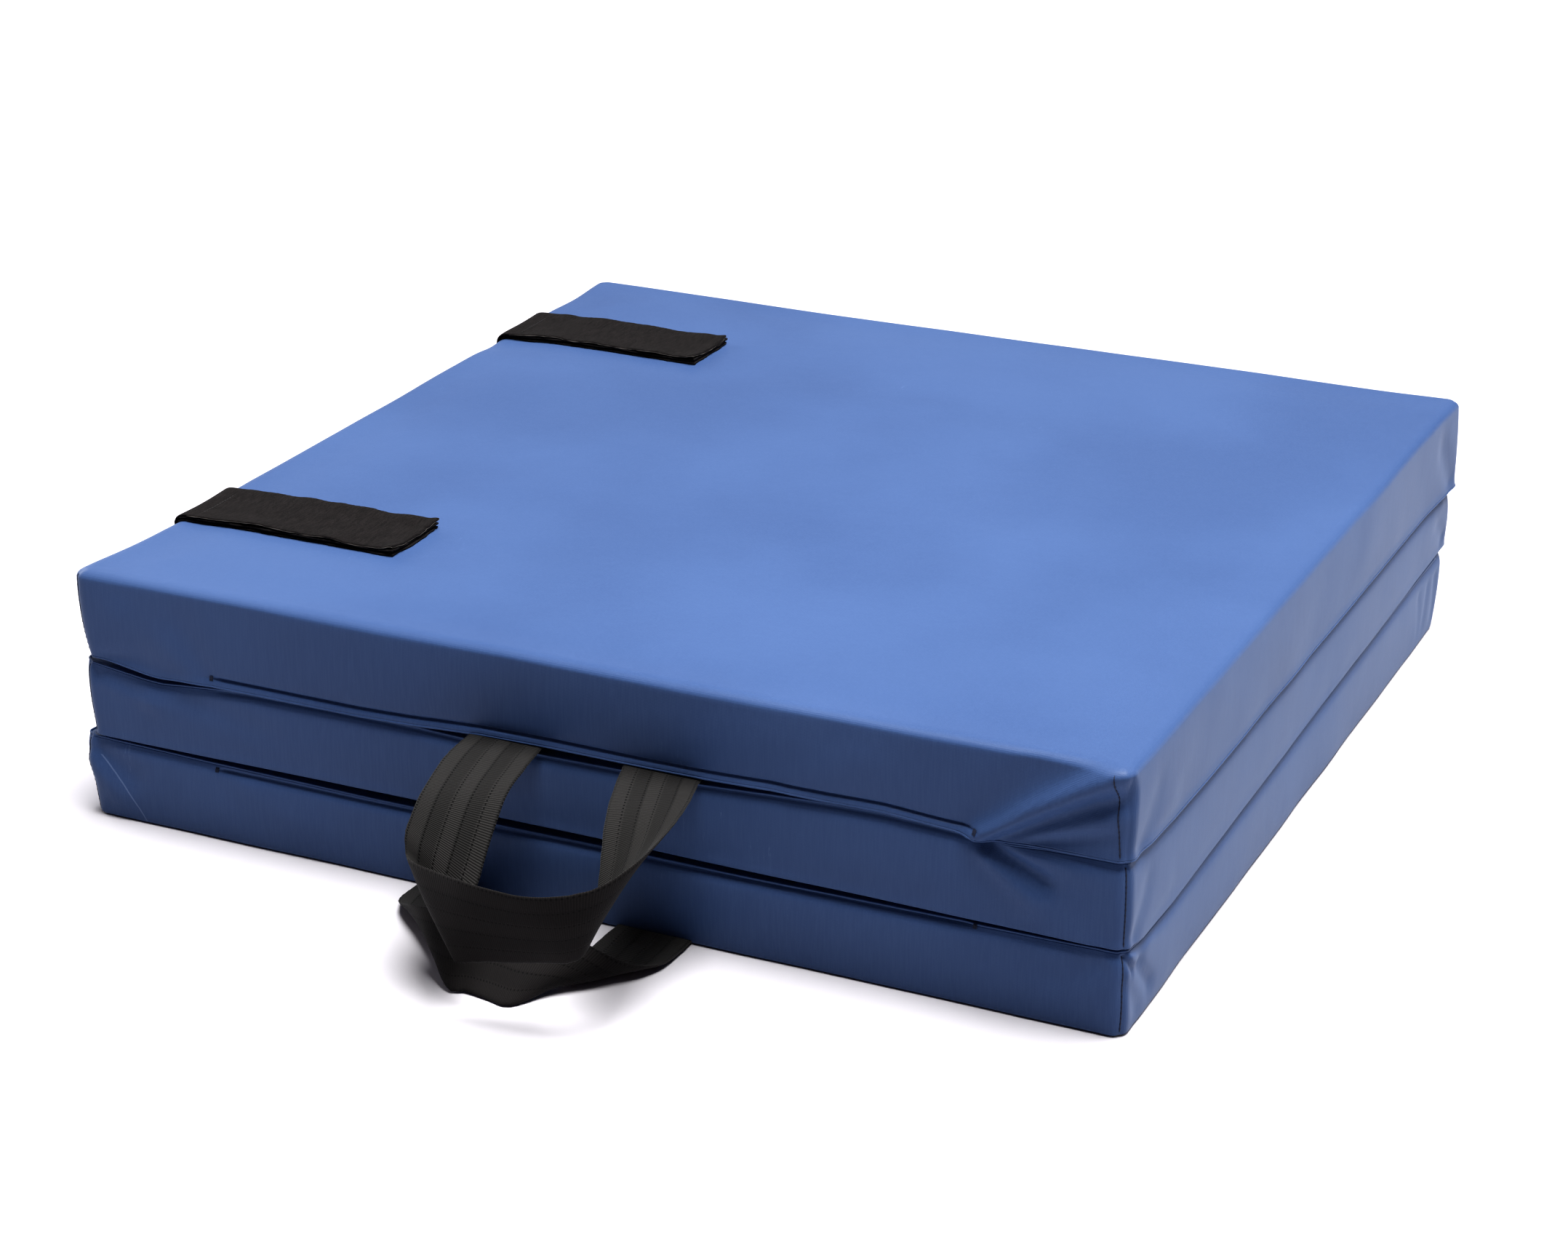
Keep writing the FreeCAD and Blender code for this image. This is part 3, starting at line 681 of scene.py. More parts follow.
# Lattice rows of a cover: distances from the seam edge in mm, and from the rim's start as shares
# of its rounding.
SEAM_ROWS = (0, 0.6, 1.2, 1.8, 2.4, 3.0, 3.6, 4.2, 4.6, 5.0, 5.4, 5.9, 6.6, 7.4, 8.4, 9.6, 11, 13)
RIM_ROWS = (1.0, 0.82, 0.65, 0.5, 0.36, 0.24, 0.12, 0)


def row_heights(panel):
    """Heights of the lattice rows: fine at the seam and the slot, coarse on the wall."""
    low, high = BOXES[panel]
    tall, rim = high[2] - low[2], RIM_ROUND[panel]
    wall = np.linspace(15.5, tall - rim - 2, 9)
    rises = np.concatenate([SEAM_ROWS, wall, tall - rim * np.array(RIM_ROWS)])
    return np.sort(off_seam(panel, rises))


def cover(panel):
    """The whole cover of one panel: closed face, walls, and the sheet on its seam side."""
    low, high = BOXES[panel]
    xs, ys = (steps(low[axis], high[axis], 13, 1.6, 4.0) for axis in (0, 1))
    points, faces = box_lattice(xs, ys, row_heights(panel))
    plain, normal = rounded(points, low, high, CORNER_ROUND, *end_rounds(panel))
    moved = sculpt(panel, plain, normal)
    nodes = (f"cover_shell_{panel}", f"cover_sheet_{panel}")
    item = new_mesh(f"cover_{panel}", moved, faces, VINYL, nodes, f"panel_{panel}")


# Distance of the foam from the outside of its cover, in mm: it stays clear of the creases.
FOAM_INSET = (9, 9, 7.5)


def foam(panel):
    """The foam slab inside a cover. It hangs with the cover."""
    low, high = BOXES[panel]
    low, high = low + FOAM_INSET, high - FOAM_INSET
    points, faces = box_lattice(*(steps(low[axis], high[axis], 8, 2, coarse)
                                  for axis, coarse in enumerate((16, 16, 6))))
    points, _ = rounded(points, low, high, 8.0, 6.0, 6.0)
    points += settling(panel, points)
    nodes = [f"foam_core_{panel}"]
    item = new_mesh(f"foam_{panel}", points, faces, FOAM, nodes, f"panel_{panel}")


for make in (cover, foam):
    for panel in PANELS:
        make(panel)


# ---------------- seams, stitches and zips
def outline(z, gap=4.0):
    """Points and outward directions along a rounded panel's outline at one height."""
    points, normals = [], []
    for quarter, (sx, sy) in enumerate(((1, -1), (1, 1), (-1, 1), (-1, -1))):
        centre = np.array((sx * CORNER_X, sy * CORNER_Y, z))
        turns = math.pi / 2 * (quarter - 1 + np.linspace(0, 1, 9))
        ways = np.stack([np.cos(turns), np.sin(turns), 0 * turns], 1)
        length = 2 * (CORNER_X if quarter % 2 else CORNER_Y)
        count = int(length / gap)
        onward = np.cross((0, 0, 1), ways[-1]) * length / count
        points.extend(centre + CORNER_ROUND * ways)
        points.extend([points[-1] + k * onward for k in range(1, count)])
        normals.extend([*ways, *[ways[-1]] * (count - 1)])
    return np.array(points), np.array(normals)


def tube(path, radius, sides=8, closed=False):
    """Vertices and faces of a tube along a path; radius is one value or one for each point."""
    path = np.array(path, float)
    count = len(path)
    radius = np.broadcast_to(radius, (count,))
    if closed:
        way = np.roll(path, -1, 0) - np.roll(path, 1, 0)
    else:
        way = np.gradient(path, axis=0)
    way /= np.maximum(np.linalg.norm(way, axis=1), 1e-9)[:, None]
    helper = np.where(np.abs(way[:, 2:3]) > 0.8, (1.0, 0.0, 0.0), (0.0, 0.0, 1.0))
    side = np.cross(way, helper)
    side /= np.linalg.norm(side, axis=1)[:, None]
    up = np.cross(side, way)
    turns = 2 * math.pi * np.arange(sides)[None, :, None] / sides
    ring = np.cos(turns) * side[:, None] + np.sin(turns) * up[:, None]
    vertices = (path[:, None] + radius[:, None, None] * ring).reshape(-1, 3)
    faces = []
    for k in range(count if closed else count - 1):
        after = (k + 1) % count
        for s in range(sides):
            t = (s + 1) % sides
            faces.append((k * sides + s, after * sides + s, after * sides + t, k * sides + t))
    if not closed:
        faces.append(tuple(range(sides)))
        faces.append(tuple((count - 1) * sides + s for s in range(sides))[::-1])
    return vertices, faces


def add_part(vertices, faces, part):
    """Adds a part's vertices and faces to two growing lists."""
    offset = len(vertices)
    vertices.extend(part[0])
    faces.extend(tuple(i + offset for i in face) for face in part[1])


# The rolled seam edge, in mm: its level in from the panel's edge, its place in from the wall, and
# its radius.
WELT_RISE = 0.7
WELT_INSET = 0.3
WELT_RADIUS = 0.6


def welt(panel):
    """The rolled seam edge round a panel, where its wall is sewn to its sheet."""
    points, normals = outline(off_seam(panel, WELT_RISE))
    moved = sculpt(panel, points - normals * WELT_INSET, normals)
    radius = WELT_RADIUS + 0.1 * wavy(points, 14, 21)
    vertices, faces = tube(moved, radius, 10, closed=True)
    new_mesh(f"seam_edge_{panel}", vertices, faces, VINYL, body=f"panel_{panel}")


def stitch(start, end, radius):
    """One stitch: a short thread that dives into the cloth at both ends."""
    share = np.linspace(0, 1, 6)
    path = start + (end - start) * share[:, None]
    swell = np.sqrt(np.clip(1 - (2 * share - 1) ** 2, 0.04, 1))
    return tube(path, radius * swell, 6)


def stitches_along(path, vertices, faces, pitch, length, radius):
    """Adds a row of stitches along a path of points in mm."""
    path = np.array(path)
    run = distance_along(path)

    def at(distance):
        return np.array([np.interp(distance, run, path[:, k]) for k in range(3)])

    place = 0.4
    while place + length < run[-1]:
        add_part(vertices, faces, stitch(at(place), at(place + length), radius))
        place += pitch


# The corner seams, in mm: distance from the panel's side, and from the seam's ends to the
# panel's edges. The top's front right seam is pulled away from the side, by more higher up.
SEAM_INSET = 2.3
PULLED_INSET = (5.4, 3.9)
SEAM_END = 3
SEAM_POINTS = 40
# Pitch, length and radius of their stitches, and the radius of the drawn-in thread below them.
CORNER_STITCH = (3.1, 2.2, 0.45)
CORNER_THREAD = 0.28
# How far thread stands out of the cloth.
THREAD_LIFT = 0.15


def seam_line(panel, corner):
    """The sewn seam down one vertical corner of a panel; corner is (x sign, y sign)."""
    low, high = BOXES[panel]
    z = np.linspace(low[2] + SEAM_END, high[2] - SEAM_END, SEAM_POINTS)
    from_side = np.full(SEAM_POINTS, SEAM_INSET)
    if panel == "top" and corner == (1, -1):
        from_side = PULLED_INSET[0] + PULLED_INSET[1] * (z - low[2]) / (high[2] - low[2])
    into_round = np.clip(CORNER_ROUND - from_side, 0, CORNER_ROUND)
    from_front = CORNER_ROUND - np.sqrt(CORNER_ROUND ** 2 - into_round ** 2)
    points = np.stack([corner[0] * (HALF_X - from_side), corner[1] * (HALF_Y - from_front), z], 1)
    low_round, high_round = end_rounds(panel)
    centre = points.copy()
    centre[:, 0] = corner[0] * np.minimum(np.abs(points[:, 0]), CORNER_X)
    centre[:, 1] = corner[1] * CORNER_Y
    away = points - centre
    normal = away / np.linalg.norm(away, axis=1)[:, None]
    tuck = np.maximum(1 - (points[:, 2] - low[2]) / low_round, 0) ** 2
    tuck += np.maximum(1 - (high[2] - points[:, 2]) / high_round, 0) ** 2
    shrink = 1 - np.sqrt(np.clip(1 - tuck, 0, 1))
    points = points - normal * (CORNER_ROUND * shrink)[:, None]
    moved = sculpt(panel, points, normal)
    return moved + normal * THREAD_LIFT


def corner_stitches(panel):
    """The stitches and the drawn-in thread of a panel's four corner seams."""
    vertices, faces = [], []
    for corner in ((1, -1), (1, 1), (-1, -1), (-1, 1)):
        line = seam_line(panel, corner)
        stitches_along(line, vertices, faces, *CORNER_STITCH)
        add_part(vertices, faces, tube(line, CORNER_THREAD, 6))
    new_mesh(f"corner_stitches_{panel}", vertices, faces, THREAD,
             [f"corner_stitching_{panel}"], f"panel_{panel}")


def slot_path(panel, depth, rise, half, gap=3.0):
    """Points deep in a panel's zip slot, following the way its edge hangs."""
    xs = np.arange(-half, half + gap, gap)
    points = np.stack([xs, np.full(len(xs), -HALF_Y), np.full(len(xs), off_seam(panel, rise))], 1)
    points[:, 2] += hanging(panel, points)
    points[:, 1] += depth
    return points


# The zips, in mm: the middle line's distance from the seam edge, the tapes' edges off that line,
# half their length, their place behind the wall and their thickness; then the coil's half length,
# place, pitch and thread radius.
ZIP_RISE = 5.0
TAPE_EDGES = ((-3.4, -0.6), (0.6, 3.4))
TAPE_HALF, TAPE_DEPTH, TAPE_THICK = 229.0, 7.4, 0.5
COIL_HALF, COIL_DEPTH, COIL_PITCH, COIL_THREAD = 227.0, 7.1, 3.2, 0.32


def zip_strip(panel):
    """The zip's two cloth tapes and its coil, sewn behind the slot."""
    vertices, faces = [], []
    for edges in TAPE_EDGES:
        rows = [slot_path(panel, TAPE_DEPTH, ZIP_RISE + edge, TAPE_HALF) for edge in edges]
        rows.sort(key=lambda row: row[0, 2])
        front = np.stack(rows, 1).reshape(-1, 3)
        tape = np.concatenate([front, front + (0, TAPE_THICK, 0)])
        add_part(vertices, faces, (tape, band_faces(len(rows[0]), 2)[0]))
    coil = slot_path(panel, COIL_DEPTH, ZIP_RISE, COIL_HALF, 0.8)
    turns = coil[:, 0] * 2 * math.pi / COIL_PITCH
    coil[:, 1] += 0.35 * np.cos(turns)
    coil[:, 2] += 0.8 * np.sin(turns)
    add_part(vertices, faces, tube(coil, COIL_THREAD, 5))
    new_mesh(f"zip_{panel}", vertices, faces, ZIP_CLOTH, [f"zip_tape_{panel}"],
             f"panel_{panel}")


# The bars at the slot's ends, in mm: pitch, half length and radius of their threads.
TACK_PITCH, TACK_HALF, TACK_RADIUS = 0.45, 1.5, 0.26


def bar_tacks(panel):
    """The short sewn bars that close both ends of the slot."""
    vertices, faces = [], []
    normal = np.array([(0.0, -1.0, 0.0)] * 2)
    for sign in (-1, 1):
        for k in range(5):
            x = sign * (SLOT_HALF + 0.8) + TACK_PITCH * (k - 2)
            z = off_seam(panel, slot_rise(panel, x))
            ends = np.array([(x, -HALF_Y, z - TACK_HALF), (x + 0.2, -HALF_Y, z + TACK_HALF)])
            moved = sculpt(panel, ends, normal) + normal * THREAD_LIFT
            add_part(vertices, faces, stitch(*moved, TACK_RADIUS))
    new_mesh(f"zip_bar_tacks_{panel}", vertices, faces, THREAD,
             body=f"panel_{panel}")


# How much deeper than its CAD box a slider lies, in mm, so that the slot hides it.
SLIDER_DEPTH = 4.6


def slider(panel):
    """The zip slider and its pull tab, tucked inside the slot."""
    for name, round_by in (("slider", 0.5), ("pull", 0.2)):
        low, high = node_box(f"zip_{name}_{panel}")
        points, faces = box_lattice(steps(low[0], high[0], 1.0, 0.25, 1.0),
                                    np.linspace(low[1], high[1], 5),
                                    np.linspace(low[2], high[2], 9))
        points, _ = rounded(points, low, high, round_by, round_by, round_by)
        centre = (low[2] + high[2]) / 2
        share = (points[:, 0] - low[0]) / (high[0] - low[0])
        narrow = 1 - (0.35 * (1 - share) if name == "slider" else 0.3 * bell(share - 0.5, 0.2))
        points[:, 2] = centre + (points[:, 2] - centre) * narrow
        points[:, 1] += SLIDER_DEPTH
        points[:, 2] += hanging(panel, np.array([(x, -HALF_Y, centre) for x in points[:, 0]]))
        new_mesh(f"zip_{name}_piece_{panel}", points, faces, ZIP_METAL,
                 [f"zip_{name}_{panel}"], f"zip_slider_{panel}")


for panel in PANELS:
    welt(panel)
    corner_stitches(panel)
    zip_strip(panel)
    if panel != "middle":
        bar_tacks(panel)
    slider(panel)


# ---------------- fold strips
# Half of a fold strip's profile: distance in from the side walls, and from the fold line, in mm.
STRIP_HALF = ((9.0, 12.0), (6.0, 8.0), (4.0, 4.0), (2.6, 2.0), (1.6, 1.0), (1.1, 0.5))
# Its distance in from the walls at the fold line, half its length, and its thickness.
STRIP_TURN, STRIP_LONG_HALF, STRIP_THICK = 0.9, 281.0, 0.5


def fold_strip(name, side, under, over):
    """The strip of cover cloth sewn along a fold, with a turn at the fold line."""
    low_node, high_node = f"hinge_strip_{name}_{under}", f"hinge_strip_{name}_{over}"
    fold_z = (node_box(low_node)[0][2] + node_box(high_node)[1][2]) / 2
    profile = [(inset, -rise) for inset, rise in STRIP_HALF] + [(STRIP_TURN, 0)]
    profile += STRIP_HALF[::-1]
    ys = np.arange(-STRIP_LONG_HALF, STRIP_LONG_HALF, 3.0)
    count = len(ys)
    rows = []
    for inset, rise in profile:
        row = np.stack([np.full(count, side * (HALF_X - inset)), ys,
                        np.full(count, fold_z + rise)], 1)
        row[:, 0] += side * 0.25 * wavy(row, 26, 31)
        rows.append(row)
    faces = [(a, a + 1, a + count + 1, a + count) for r in range(len(rows) - 1)
             for a in range(r * count, (r + 1) * count - 1)]
    item = new_mesh(f"fold_strip_{name}", np.concatenate(rows), faces, VINYL,
                    (low_node, high_node))
    thick = item.modifiers.new("thickness", "SOLIDIFY")
    thick.thickness, thick.offset = STRIP_THICK * MM, 0.0
    with bpy.context.temp_override(object=item, active_object=item, selected_objects=[item]):
        bpy.ops.object.modifier_apply(modifier=thick.name)
    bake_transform(item)


fold_strip("right", 1, "bottom", "middle")
fold_strip("left", -1, "middle", "top")

# ---------------- hook-and-loop straps
# Length of a strap's way round the top panel's rim, in mm.
RIM_RUN = math.pi / 2 * (CORNER_ROUND + RIM_ROUND["top"]) / 2


def over_left_rim(run, y):
    """Plain place and outward direction at a distance along the top face, round the left
    rim and down the wall. Zero is where the rim starts, and negative runs lie beyond it."""
    _, high = BOXES["top"]
    turn = np.clip(-run / RIM_RUN, 0, 1) * math.pi / 2
    down = np.maximum(-run - RIM_RUN, 0)
    x = -CORNER_X - CORNER_ROUND * np.sin(turn) + np.maximum(run, 0)
    z = high[2] - RIM_ROUND["top"] * (1 - np.cos(turn)) - down
    normal = np.stack([-np.sin(turn), np.zeros_like(turn), np.cos(turn)], 1)
    return np.stack([x, y, z], 1), normal


def fray_line(name, path, seed, body):
    """Loose light fibres along the cut rim of a strap."""
    radius = np.clip(0.16 + 0.30 * wavy(path, 5, seed + 7), 0.05, 0.34)
    vertices, faces = tube(path, radius, 5)
    new_mesh(name, vertices, faces, FRAY, body=body)


# Distance between a strap's rows of points, in mm.
STRAP_STEP = 1.2
# Pitch, length and radius of the straps' stitches.
STRAP_STITCH = (2.6, 1.9, 0.28)
# Length of the outer ply beyond the rim, down the wall to its root.
STRAP_ROOT = 12.8
# Places across a strap, from edge to edge, and the share of its thickness that it has there.
STRAP_ACROSS = np.concatenate([[-1.0, -0.99], np.linspace(-0.97, 0.97, 21), [0.99, 1.0]])
STRAP_SHELL = np.concatenate([[0.25, 0.8], np.ones(21), [0.8, 0.25]])
# Height of the wrapped ply's middle over the cover where it goes round the rim.
WRAP_LIFT = 0.75
# How far before its free end a strap starts to lift and fray there.
END_REACH = 9


def strap_ply(name, nodes, start, seed, body, edge_wave, wrap=False):
    """One ply of a strap: a band with frayed, wavy edges that lies over the cover. Returns the
    height of its upper face over the cover, and the under rim of its part on the top face."""
    low, high = node_box(nodes[0])
    thick = high[2] - low[2] - 0.1
    height = (low[2] + high[2]) / 2 - BOXES["top"][1][2]
    centre, half = (low[1] + high[1]) / 2, (high[1] - low[1]) / 2
    end = high[0] + CORNER_X
    runs = np.linspace(start, end, int((end - start) / STRAP_STEP))
    count, wide = len(runs), len(STRAP_ACROSS)
    run, share = (grid.ravel() for grid in np.meshgrid(runs, STRAP_ACROSS, indexing="ij"))
    plain = np.stack([run, share * half, np.full(len(run), seed * 10.0)], 1)
    fray = 0.5 * wavy(plain, 1.7, seed, (1, 30, 1)) + 0.95 * wavy(plain, 14, seed + 1, (1, 60, 1))
    y = centre + share * (half - 0.4) + np.abs(share) ** 3 * fray
    near_end = smoothstep(run, end - END_REACH, end)
    frayed = run + near_end * 0.8 * wavy(plain, 2.0, seed + 2, (30, 1, 1))
    frayed += near_end * (1.3 * wavy(plain, 14, seed + 3) - 0.8 * share * share)
    place, normal = over_left_rim(frayed, y)
    base = sculpt("top", place, normal)
    lift = np.full(len(run), height)
    if wrap:
        lift = WRAP_LIFT + (height - WRAP_LIFT) * smoothstep(run, -RIM_RUN, -2.0)
    waves = edge_wave * smoothstep(run, -4, 12)
    edge = smoothstep(np.abs(share), 0.35, 1.0)
    back, front = (smoothstep(way * share, 0.3, 1.0) for way in (1, -1))
    lift += waves * (0.7 * back + 0.75 * front) * (wavy(plain, 15, seed + 4, (1, 3, 1)) + 0.6)
    lift += waves * 1.1 * (0.4 + 0.6 * edge) * near_end
    lift += waves * 0.12 * wavy(plain, 40, seed + 5)
    half_thick = thick / 2 * np.tile(STRAP_SHELL, count)
    top = base + normal * (lift + half_thick)[:, None]
    under = base + normal * (lift - half_thick)[:, None]
    faces, _ = band_faces(count, wide)
    item = new_mesh(name, np.concatenate([top, under]), faces, TAPE, nodes,
                    None if wrap else body)
    if wrap:
        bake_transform(item)
    first = int(np.argmax(runs > 0))
    rim = [k * wide for k in range(first, count)]
    rim += [(count - 1) * wide + j for j in range(1, wide)]
    rim += [k * wide + wide - 1 for k in range(count - 2, first, -1)]
    return height + thick / 2, under[rim]


def strap_stitches(side, level, body):
    """The sewn rows at the strap's rim end and its free end, at a height over the cover."""
    low, high = node_box(f"flap_stitching_{side}")
    vertices, faces = [], []
    ys = np.linspace(low[1] + 1.2, high[1] - 1.2, 14)
    for x in (low[0] + 6.0, high[0] - 1.5):
        place, normal = over_left_rim(np.full(len(ys), x + CORNER_X), ys)
        row = sculpt("top", place, normal) + normal * level
        stitches_along(row, vertices, faces, *STRAP_STITCH)
    new_mesh(f"strap_stitches_{side}", vertices, faces, THREAD_BLACK,
             [f"flap_stitching_{side}"], body)


for number, side in enumerate(("front", "back")):
    body = f"flap_{side}"
    seed = 40 + 17 * number
    strap_ply(f"strap_loop_{side}", [f"loop_strip_top_{side}"], -5.0, seed, "panel_top", 0.15)
    strap_ply(f"strap_hook_{side}", [f"flap_hook_{side}"], -3.0, seed + 5, body, 0.8)
    level, rim = strap_ply(f"strap_outer_{side}", [f"flap_outer_{side}", f"flap_root_{side}"],
                           -RIM_RUN - STRAP_ROOT, seed + 9, body, 1.5, wrap=True)
    fray_line(f"strap_fray_{side}", rim, seed + 9, body)
    strap_stitches(side, level, body)


# ---------------- handles
# Stations along each webbing loop, in mm: a point on its upper edge and on its lower edge.
UPPER_HANDLE = (
    ((-63, -273, 96.5), (-19, -273, 96.5)), ((-63, -295, 96.3), (-19, -295, 96.3)),
    ((-63, -308, 95.2), (-19, -308, 95.2)), ((-60, -336, 95.5), (-16, -330, 94.6)),
    ((-55, -368, 91), (-12, -361, 88)), ((-53, -388, 79), (-9, -393, 60)),
    ((-51, -393, 70), (-9, -409, 41)), ((-47, -398, 68), (-9, -417, 31)),
    ((-37, -404, 69), (-8, -420, 28)), ((-20, -411, 71), (-4, -419, 28)),
    ((-4, -417, 73), (5, -416, 29)), ((16, -421, 74), (20, -413, 31)),
    ((34, -422, 75), (37, -410, 33)), ((52, -418, 77), (50, -408, 35)),
    ((68, -408, 81), (57, -405, 40)), ((79, -388, 88), (58, -397, 52)),
    ((82, -358, 94), (52, -378, 74)), ((79, -332, 95), (41, -348, 91)),
    ((73, -308, 95.2), (29, -308, 95.2)), ((73, -295, 96.3), (29, -295, 96.3)),
    ((73, -273, 96.5), (29, -273, 96.5)))
LOWER_HANDLE = (
    ((-96, -273, 1.7), (-52, -273, 1.7)), ((-96, -308, 1.7), (-52, -308, 1.7)),
    ((-96, -320, 2.2), (-53, -328, 8)), ((-94, -331, 4), (-50, -344, 11)),
    ((-88, -342, 8), (-48, -360, 11)), ((-77, -352, 14), (-43, -378, 8)),
    ((-62, -361, 20), (-33, -394, 4)), ((-44, -366, 25), (-22, -404, 1.4)),
    ((-26, -367, 29), (-13, -402, 1.4)), ((-6, -366, 32), (0, -404, 1.4)),
    ((14, -365, 29), (12, -406, 1.4)), ((29, -364, 24), (19, -398, 1.4)),
    ((42, -363, 19), (23, -386, 1.6)), ((53, -360, 14), (25, -374, 2)),
    ((61, -352, 9), (25, -360, 3)), ((66, -338, 4), (24, -345, 3)),
    ((67, -322, 2), (23, -328, 2.2)), ((67, -308, 1.7), (23, -308, 1.7)),
    ((67, -273, 1.7), (23, -273, 1.7)))
# How far the band bulges outwards between its edges, as (share of the way along, mm).
UPPER_BOW = ((0, 0), (0.2, 0.6), (0.4, 1.6), (0.6, 1.6), (0.8, 0.8), (1, 0))
LOWER_BOW = ((0, 0), (0.25, 1.5), (0.45, 1.0), (0.58, 2.0), (0.7, 4.5), (0.8, 3.0), (0.92, 0),
             (1, 0))
WEBBING_THICK = 1.5
# Places across the webbing from its upper to its lower edge, and the share of its thickness there.
WEBBING_ACROSS = np.concatenate([[0.0, 0.012], np.linspace(0.035, 0.965, 25), [0.988, 1.0]])
WEBBING_SHELL = np.concatenate([[0.15, 0.75], np.ones(25), [0.75, 0.15]])
# Pitch and depth of the small teeth that the weave leaves along the edges.
TOOTH_PITCH, TOOTH_DEPTH = 1.7, 0.16


def smooth_line(points, between):
    """A smooth curve through the points, with that many steps between neighbours."""
    points = np.array(points, float)
    padded_points = np.concatenate([[2 * points[0] - points[1]], points,
                                    [2 * points[-1] - points[-2]]])
    line = []
    for k in range(1, len(padded_points) - 2):
        p0, p1, p2, p3 = padded_points[k - 1:k + 3]
        for step in range(between):
            t = step / between
            line.append(0.5 * (2 * p1 + (p2 - p0) * t + (2 * p0 - 5 * p1 + 4 * p2 - p3) * t * t
                               + (3 * p1 - p0 - 3 * p2 + p3) * t ** 3))
    line.append(points[-1])
    return np.array(line)


def webbing(name, stations, bows, nodes, floor_level=-math.inf):
    """A webbing loop: a flat woven band through its stations, with its weave coordinates."""
    upper, lower = (smooth_line([pair[edge] for pair in stations], 10) for edge in (0, 1))
    centre, cross = (upper + lower) / 2, lower - upper
    width = np.linalg.norm(cross, axis=1).mean()
    count, wide = len(upper), len(WEBBING_ACROSS)
    normal = np.cross(np.gradient(centre, axis=0), cross)
    normal /= np.linalg.norm(normal, axis=1)[:, None]
    flat = (upper[:, None, :] + cross[:, None, :] * WEBBING_ACROSS[None, :, None]).reshape(-1, 3)
    normals, edge_way = np.repeat(normal, wide, 0), np.repeat(cross / width, wide, 0)
    runs, share = np.repeat(distance_along(centre), wide), np.tile(WEBBING_ACROSS, count)
    free = smoothstep(-flat[:, 1], 306, 330)
    bulge = table(runs / runs[-1], bows) * (1 - (2 * share - 1) ** 2)
    bow = free * (0.9 * wavy(np.stack([runs, share * 40, runs * 0], 1), 34, 71) - bulge)
    flat += normals * bow[:, None]
    flat[:, 2] = np.maximum(flat[:, 2], floor_level + WEBBING_THICK / 2)
    teeth = TOOTH_DEPTH * np.sin(runs * 2 * math.pi / TOOTH_PITCH) * (np.abs(share - 0.5) > 0.48)
    flat += edge_way * (teeth * np.sign(share - 0.5))[:, None]
    half = (np.tile(WEBBING_SHELL, count) * WEBBING_THICK / 2)[:, None]
    vertices = np.concatenate([flat + normals * half, flat - normals * half])
    vertices[:, 2] = np.maximum(vertices[:, 2], floor_level + WEBBING_THICK * 0.05)
    faces, marks = band_faces(count, wide)
    item = new_mesh(name, vertices, faces, WEBBING, nodes)
    item.data.materials.append(WEBBING_BACK)
    item.data.polygons.foreach_set("material_index", marks)
    weave = item.data.attributes.new("weave", "FLOAT_VECTOR", "POINT")
    values = np.stack([share * width * MM, runs * MM, runs * 0], 1)
    weave.data.foreach_set("vector", np.concatenate([values, values]).ravel().astype(np.float32))
    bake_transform(item)


webbing("handle_upper_webbing", UPPER_HANDLE, UPPER_BOW,
        ("handle_upper_loop", "handle_upper_ends"))
webbing("handle_lower_webbing", LOWER_HANDLE, LOWER_BOW,
        ("handle_lower_loop", "handle_lower_ends"), 0.3)

# Pitch, length and radius of the handles' stitches.
HANDLE_STITCH = (2.8, 2.0, 0.28)


def tab_stitches(name, stations, panel):
    """The sewn rows that hold both ends of a handle to its panel."""
    vertices, faces = [], []
    low, high = node_box(name)
    near, far = low[1] + 1, high[1] - 1
    level = low[2] + 0.1 if panel == "panel_top" else high[2] - 0.1
    for end in (0, -1):
        x0, x1 = sorted(edge[0] for edge in stations[end])
        left, right = x0 + 2, x1 - 2
        for ends in (((left, near), (right, near)), ((left, far), (right, far)),
                     ((left, near), (right, far)), ((right, near), (left, far))):
            row = [(x, y, level) for x, y in ends]
            stitches_along(row, vertices, faces, *HANDLE_STITCH)
    new_mesh(name.replace("stitching", "stitches"), vertices, faces, THREAD_BLACK,
             [name], panel)


tab_stitches("handle_upper_stitching", UPPER_HANDLE, "panel_top")
tab_stitches("handle_lower_stitching", LOWER_HANDLE, "panel_bottom")


# ---------------- floor, light and camera
# The floor's side, and how far it lies under the mat so that the two faces don't mix, in metres.
FLOOR_SIZE, FLOOR_GAP = 60, 0.00015
FLOOR_COLOUR = (0.445, 0.432, 0.454, 1)
WORLD_COLOUR = (1, 0.84, 0.98, 1)
WORLD_LIGHT = 0.07
SUN_LIGHT = 7.4
SUN_ANGLE = 34.0
SUN_FROM = (0.16, 0.06, 1.0)
# Name, power, size, place and aim of each soft light.
LIGHTS = (
    ("light_behind", 10.0, (4.0, 1.6), (-1.2, 3.6, 1.7), (0.0, 0.2, 0.1)),
    ("light_top", 6.5, (0.9, 0.3), (0.18, -0.2, 0.95), (0.14, -0.18, 0.1)),
    ("light_left", 34.0, (1.8, 0.9), (-2.4, 0.6, 0.9), (-0.3, 0.0, 0.0)),
    ("light_right", 27.0, (1.8, 0.9), (2.5, 1.7, 0.8), (0.3, 0.0, 0.05)),
)


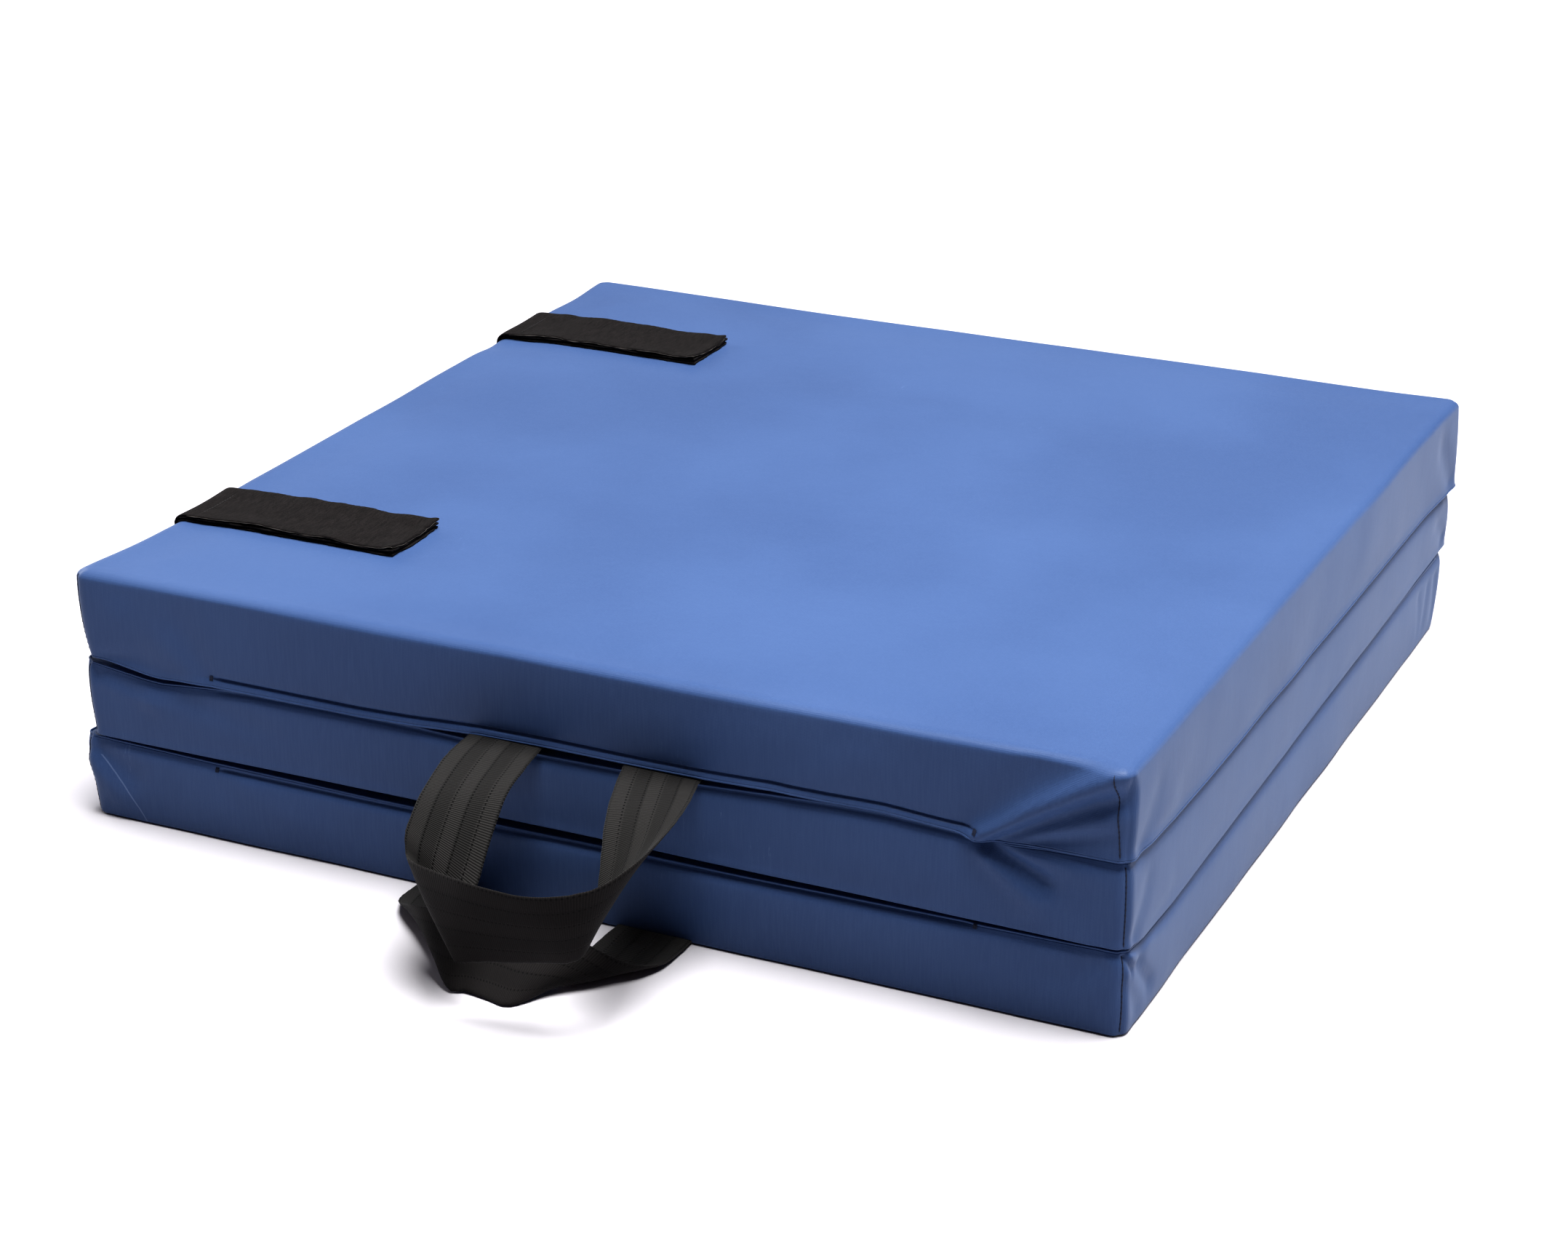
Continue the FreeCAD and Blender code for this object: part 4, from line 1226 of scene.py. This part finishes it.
def add_light(name, kind, way, **settings):
    """A light that shines in a direction."""
    data = bpy.data.lights.new(name, kind)
    for key, value in settings.items():
        setattr(data, key, value)
    lamp = bpy.data.objects.new(name, data)
    bpy.context.scene.collection.objects.link(lamp)
    lamp.rotation_euler = way.to_track_quat("-Z", "Y").to_euler()
    return lamp


def studio():
    """A white floor under one large soft light, with weaker lights behind and at both sides."""
    bpy.ops.mesh.primitive_plane_add(size=FLOOR_SIZE, location=(0, 0, CAD_LOW[2] - FLOOR_GAP))
    floor = bpy.context.object
    floor.name = "studio_floor"
    white = Nodes("studio_white", Roughness=0.9)
    white.shader.inputs["Base Color"].default_value = FLOOR_COLOUR
    floor.data.materials.append(white.material)
    world = bpy.data.worlds.new("studio_world")
    bpy.context.scene.world = world
    world.use_nodes = True
    background = world.node_tree.nodes["Background"]
    background.inputs["Color"].default_value = WORLD_COLOUR
    background.inputs["Strength"].default_value = WORLD_LIGHT
    for name, energy, (size, size_y), place, aim in LIGHTS:
        lamp = add_light(name, "AREA", Vector(aim) - Vector(place), energy=energy,
                         shape="RECTANGLE", size=size, size_y=size_y)
        lamp.location = place
    add_light("light_over", "SUN", -Vector(SUN_FROM), energy=SUN_LIGHT,
              angle=math.radians(SUN_ANGLE))


# The photograph's view: azimuth, elevation and roll in degrees, place in metres, lens in mm.
VIEW_ANGLES = (24.7508, 22.6089, 0.1714)
VIEW_PLACE = (0.7691262, -1.7155629, 0.8347967)
VIEW_LENS = 78.134


def camera():
    """The photograph's view."""
    azimuth, elevation, roll = (math.radians(angle) for angle in VIEW_ANGLES)
    turn = (Matrix.Rotation(azimuth, 4, "Z") @ Matrix.Rotation(math.pi / 2 - elevation, 4, "X")
            @ Matrix.Rotation(roll, 4, "Z"))
    data = bpy.data.cameras.new("camera")
    data.lens, data.sensor_width = VIEW_LENS, 36.0
    item = bpy.data.objects.new("camera", data)
    bpy.context.scene.collection.objects.link(item)
    item.matrix_world = Matrix.Translation(VIEW_PLACE) @ turn
    bpy.context.scene.camera = item


studio()
camera()
bpy.context.scene.view_settings.view_transform = "Standard"
bpy.context.scene.view_settings.look = "Medium High Contrast"
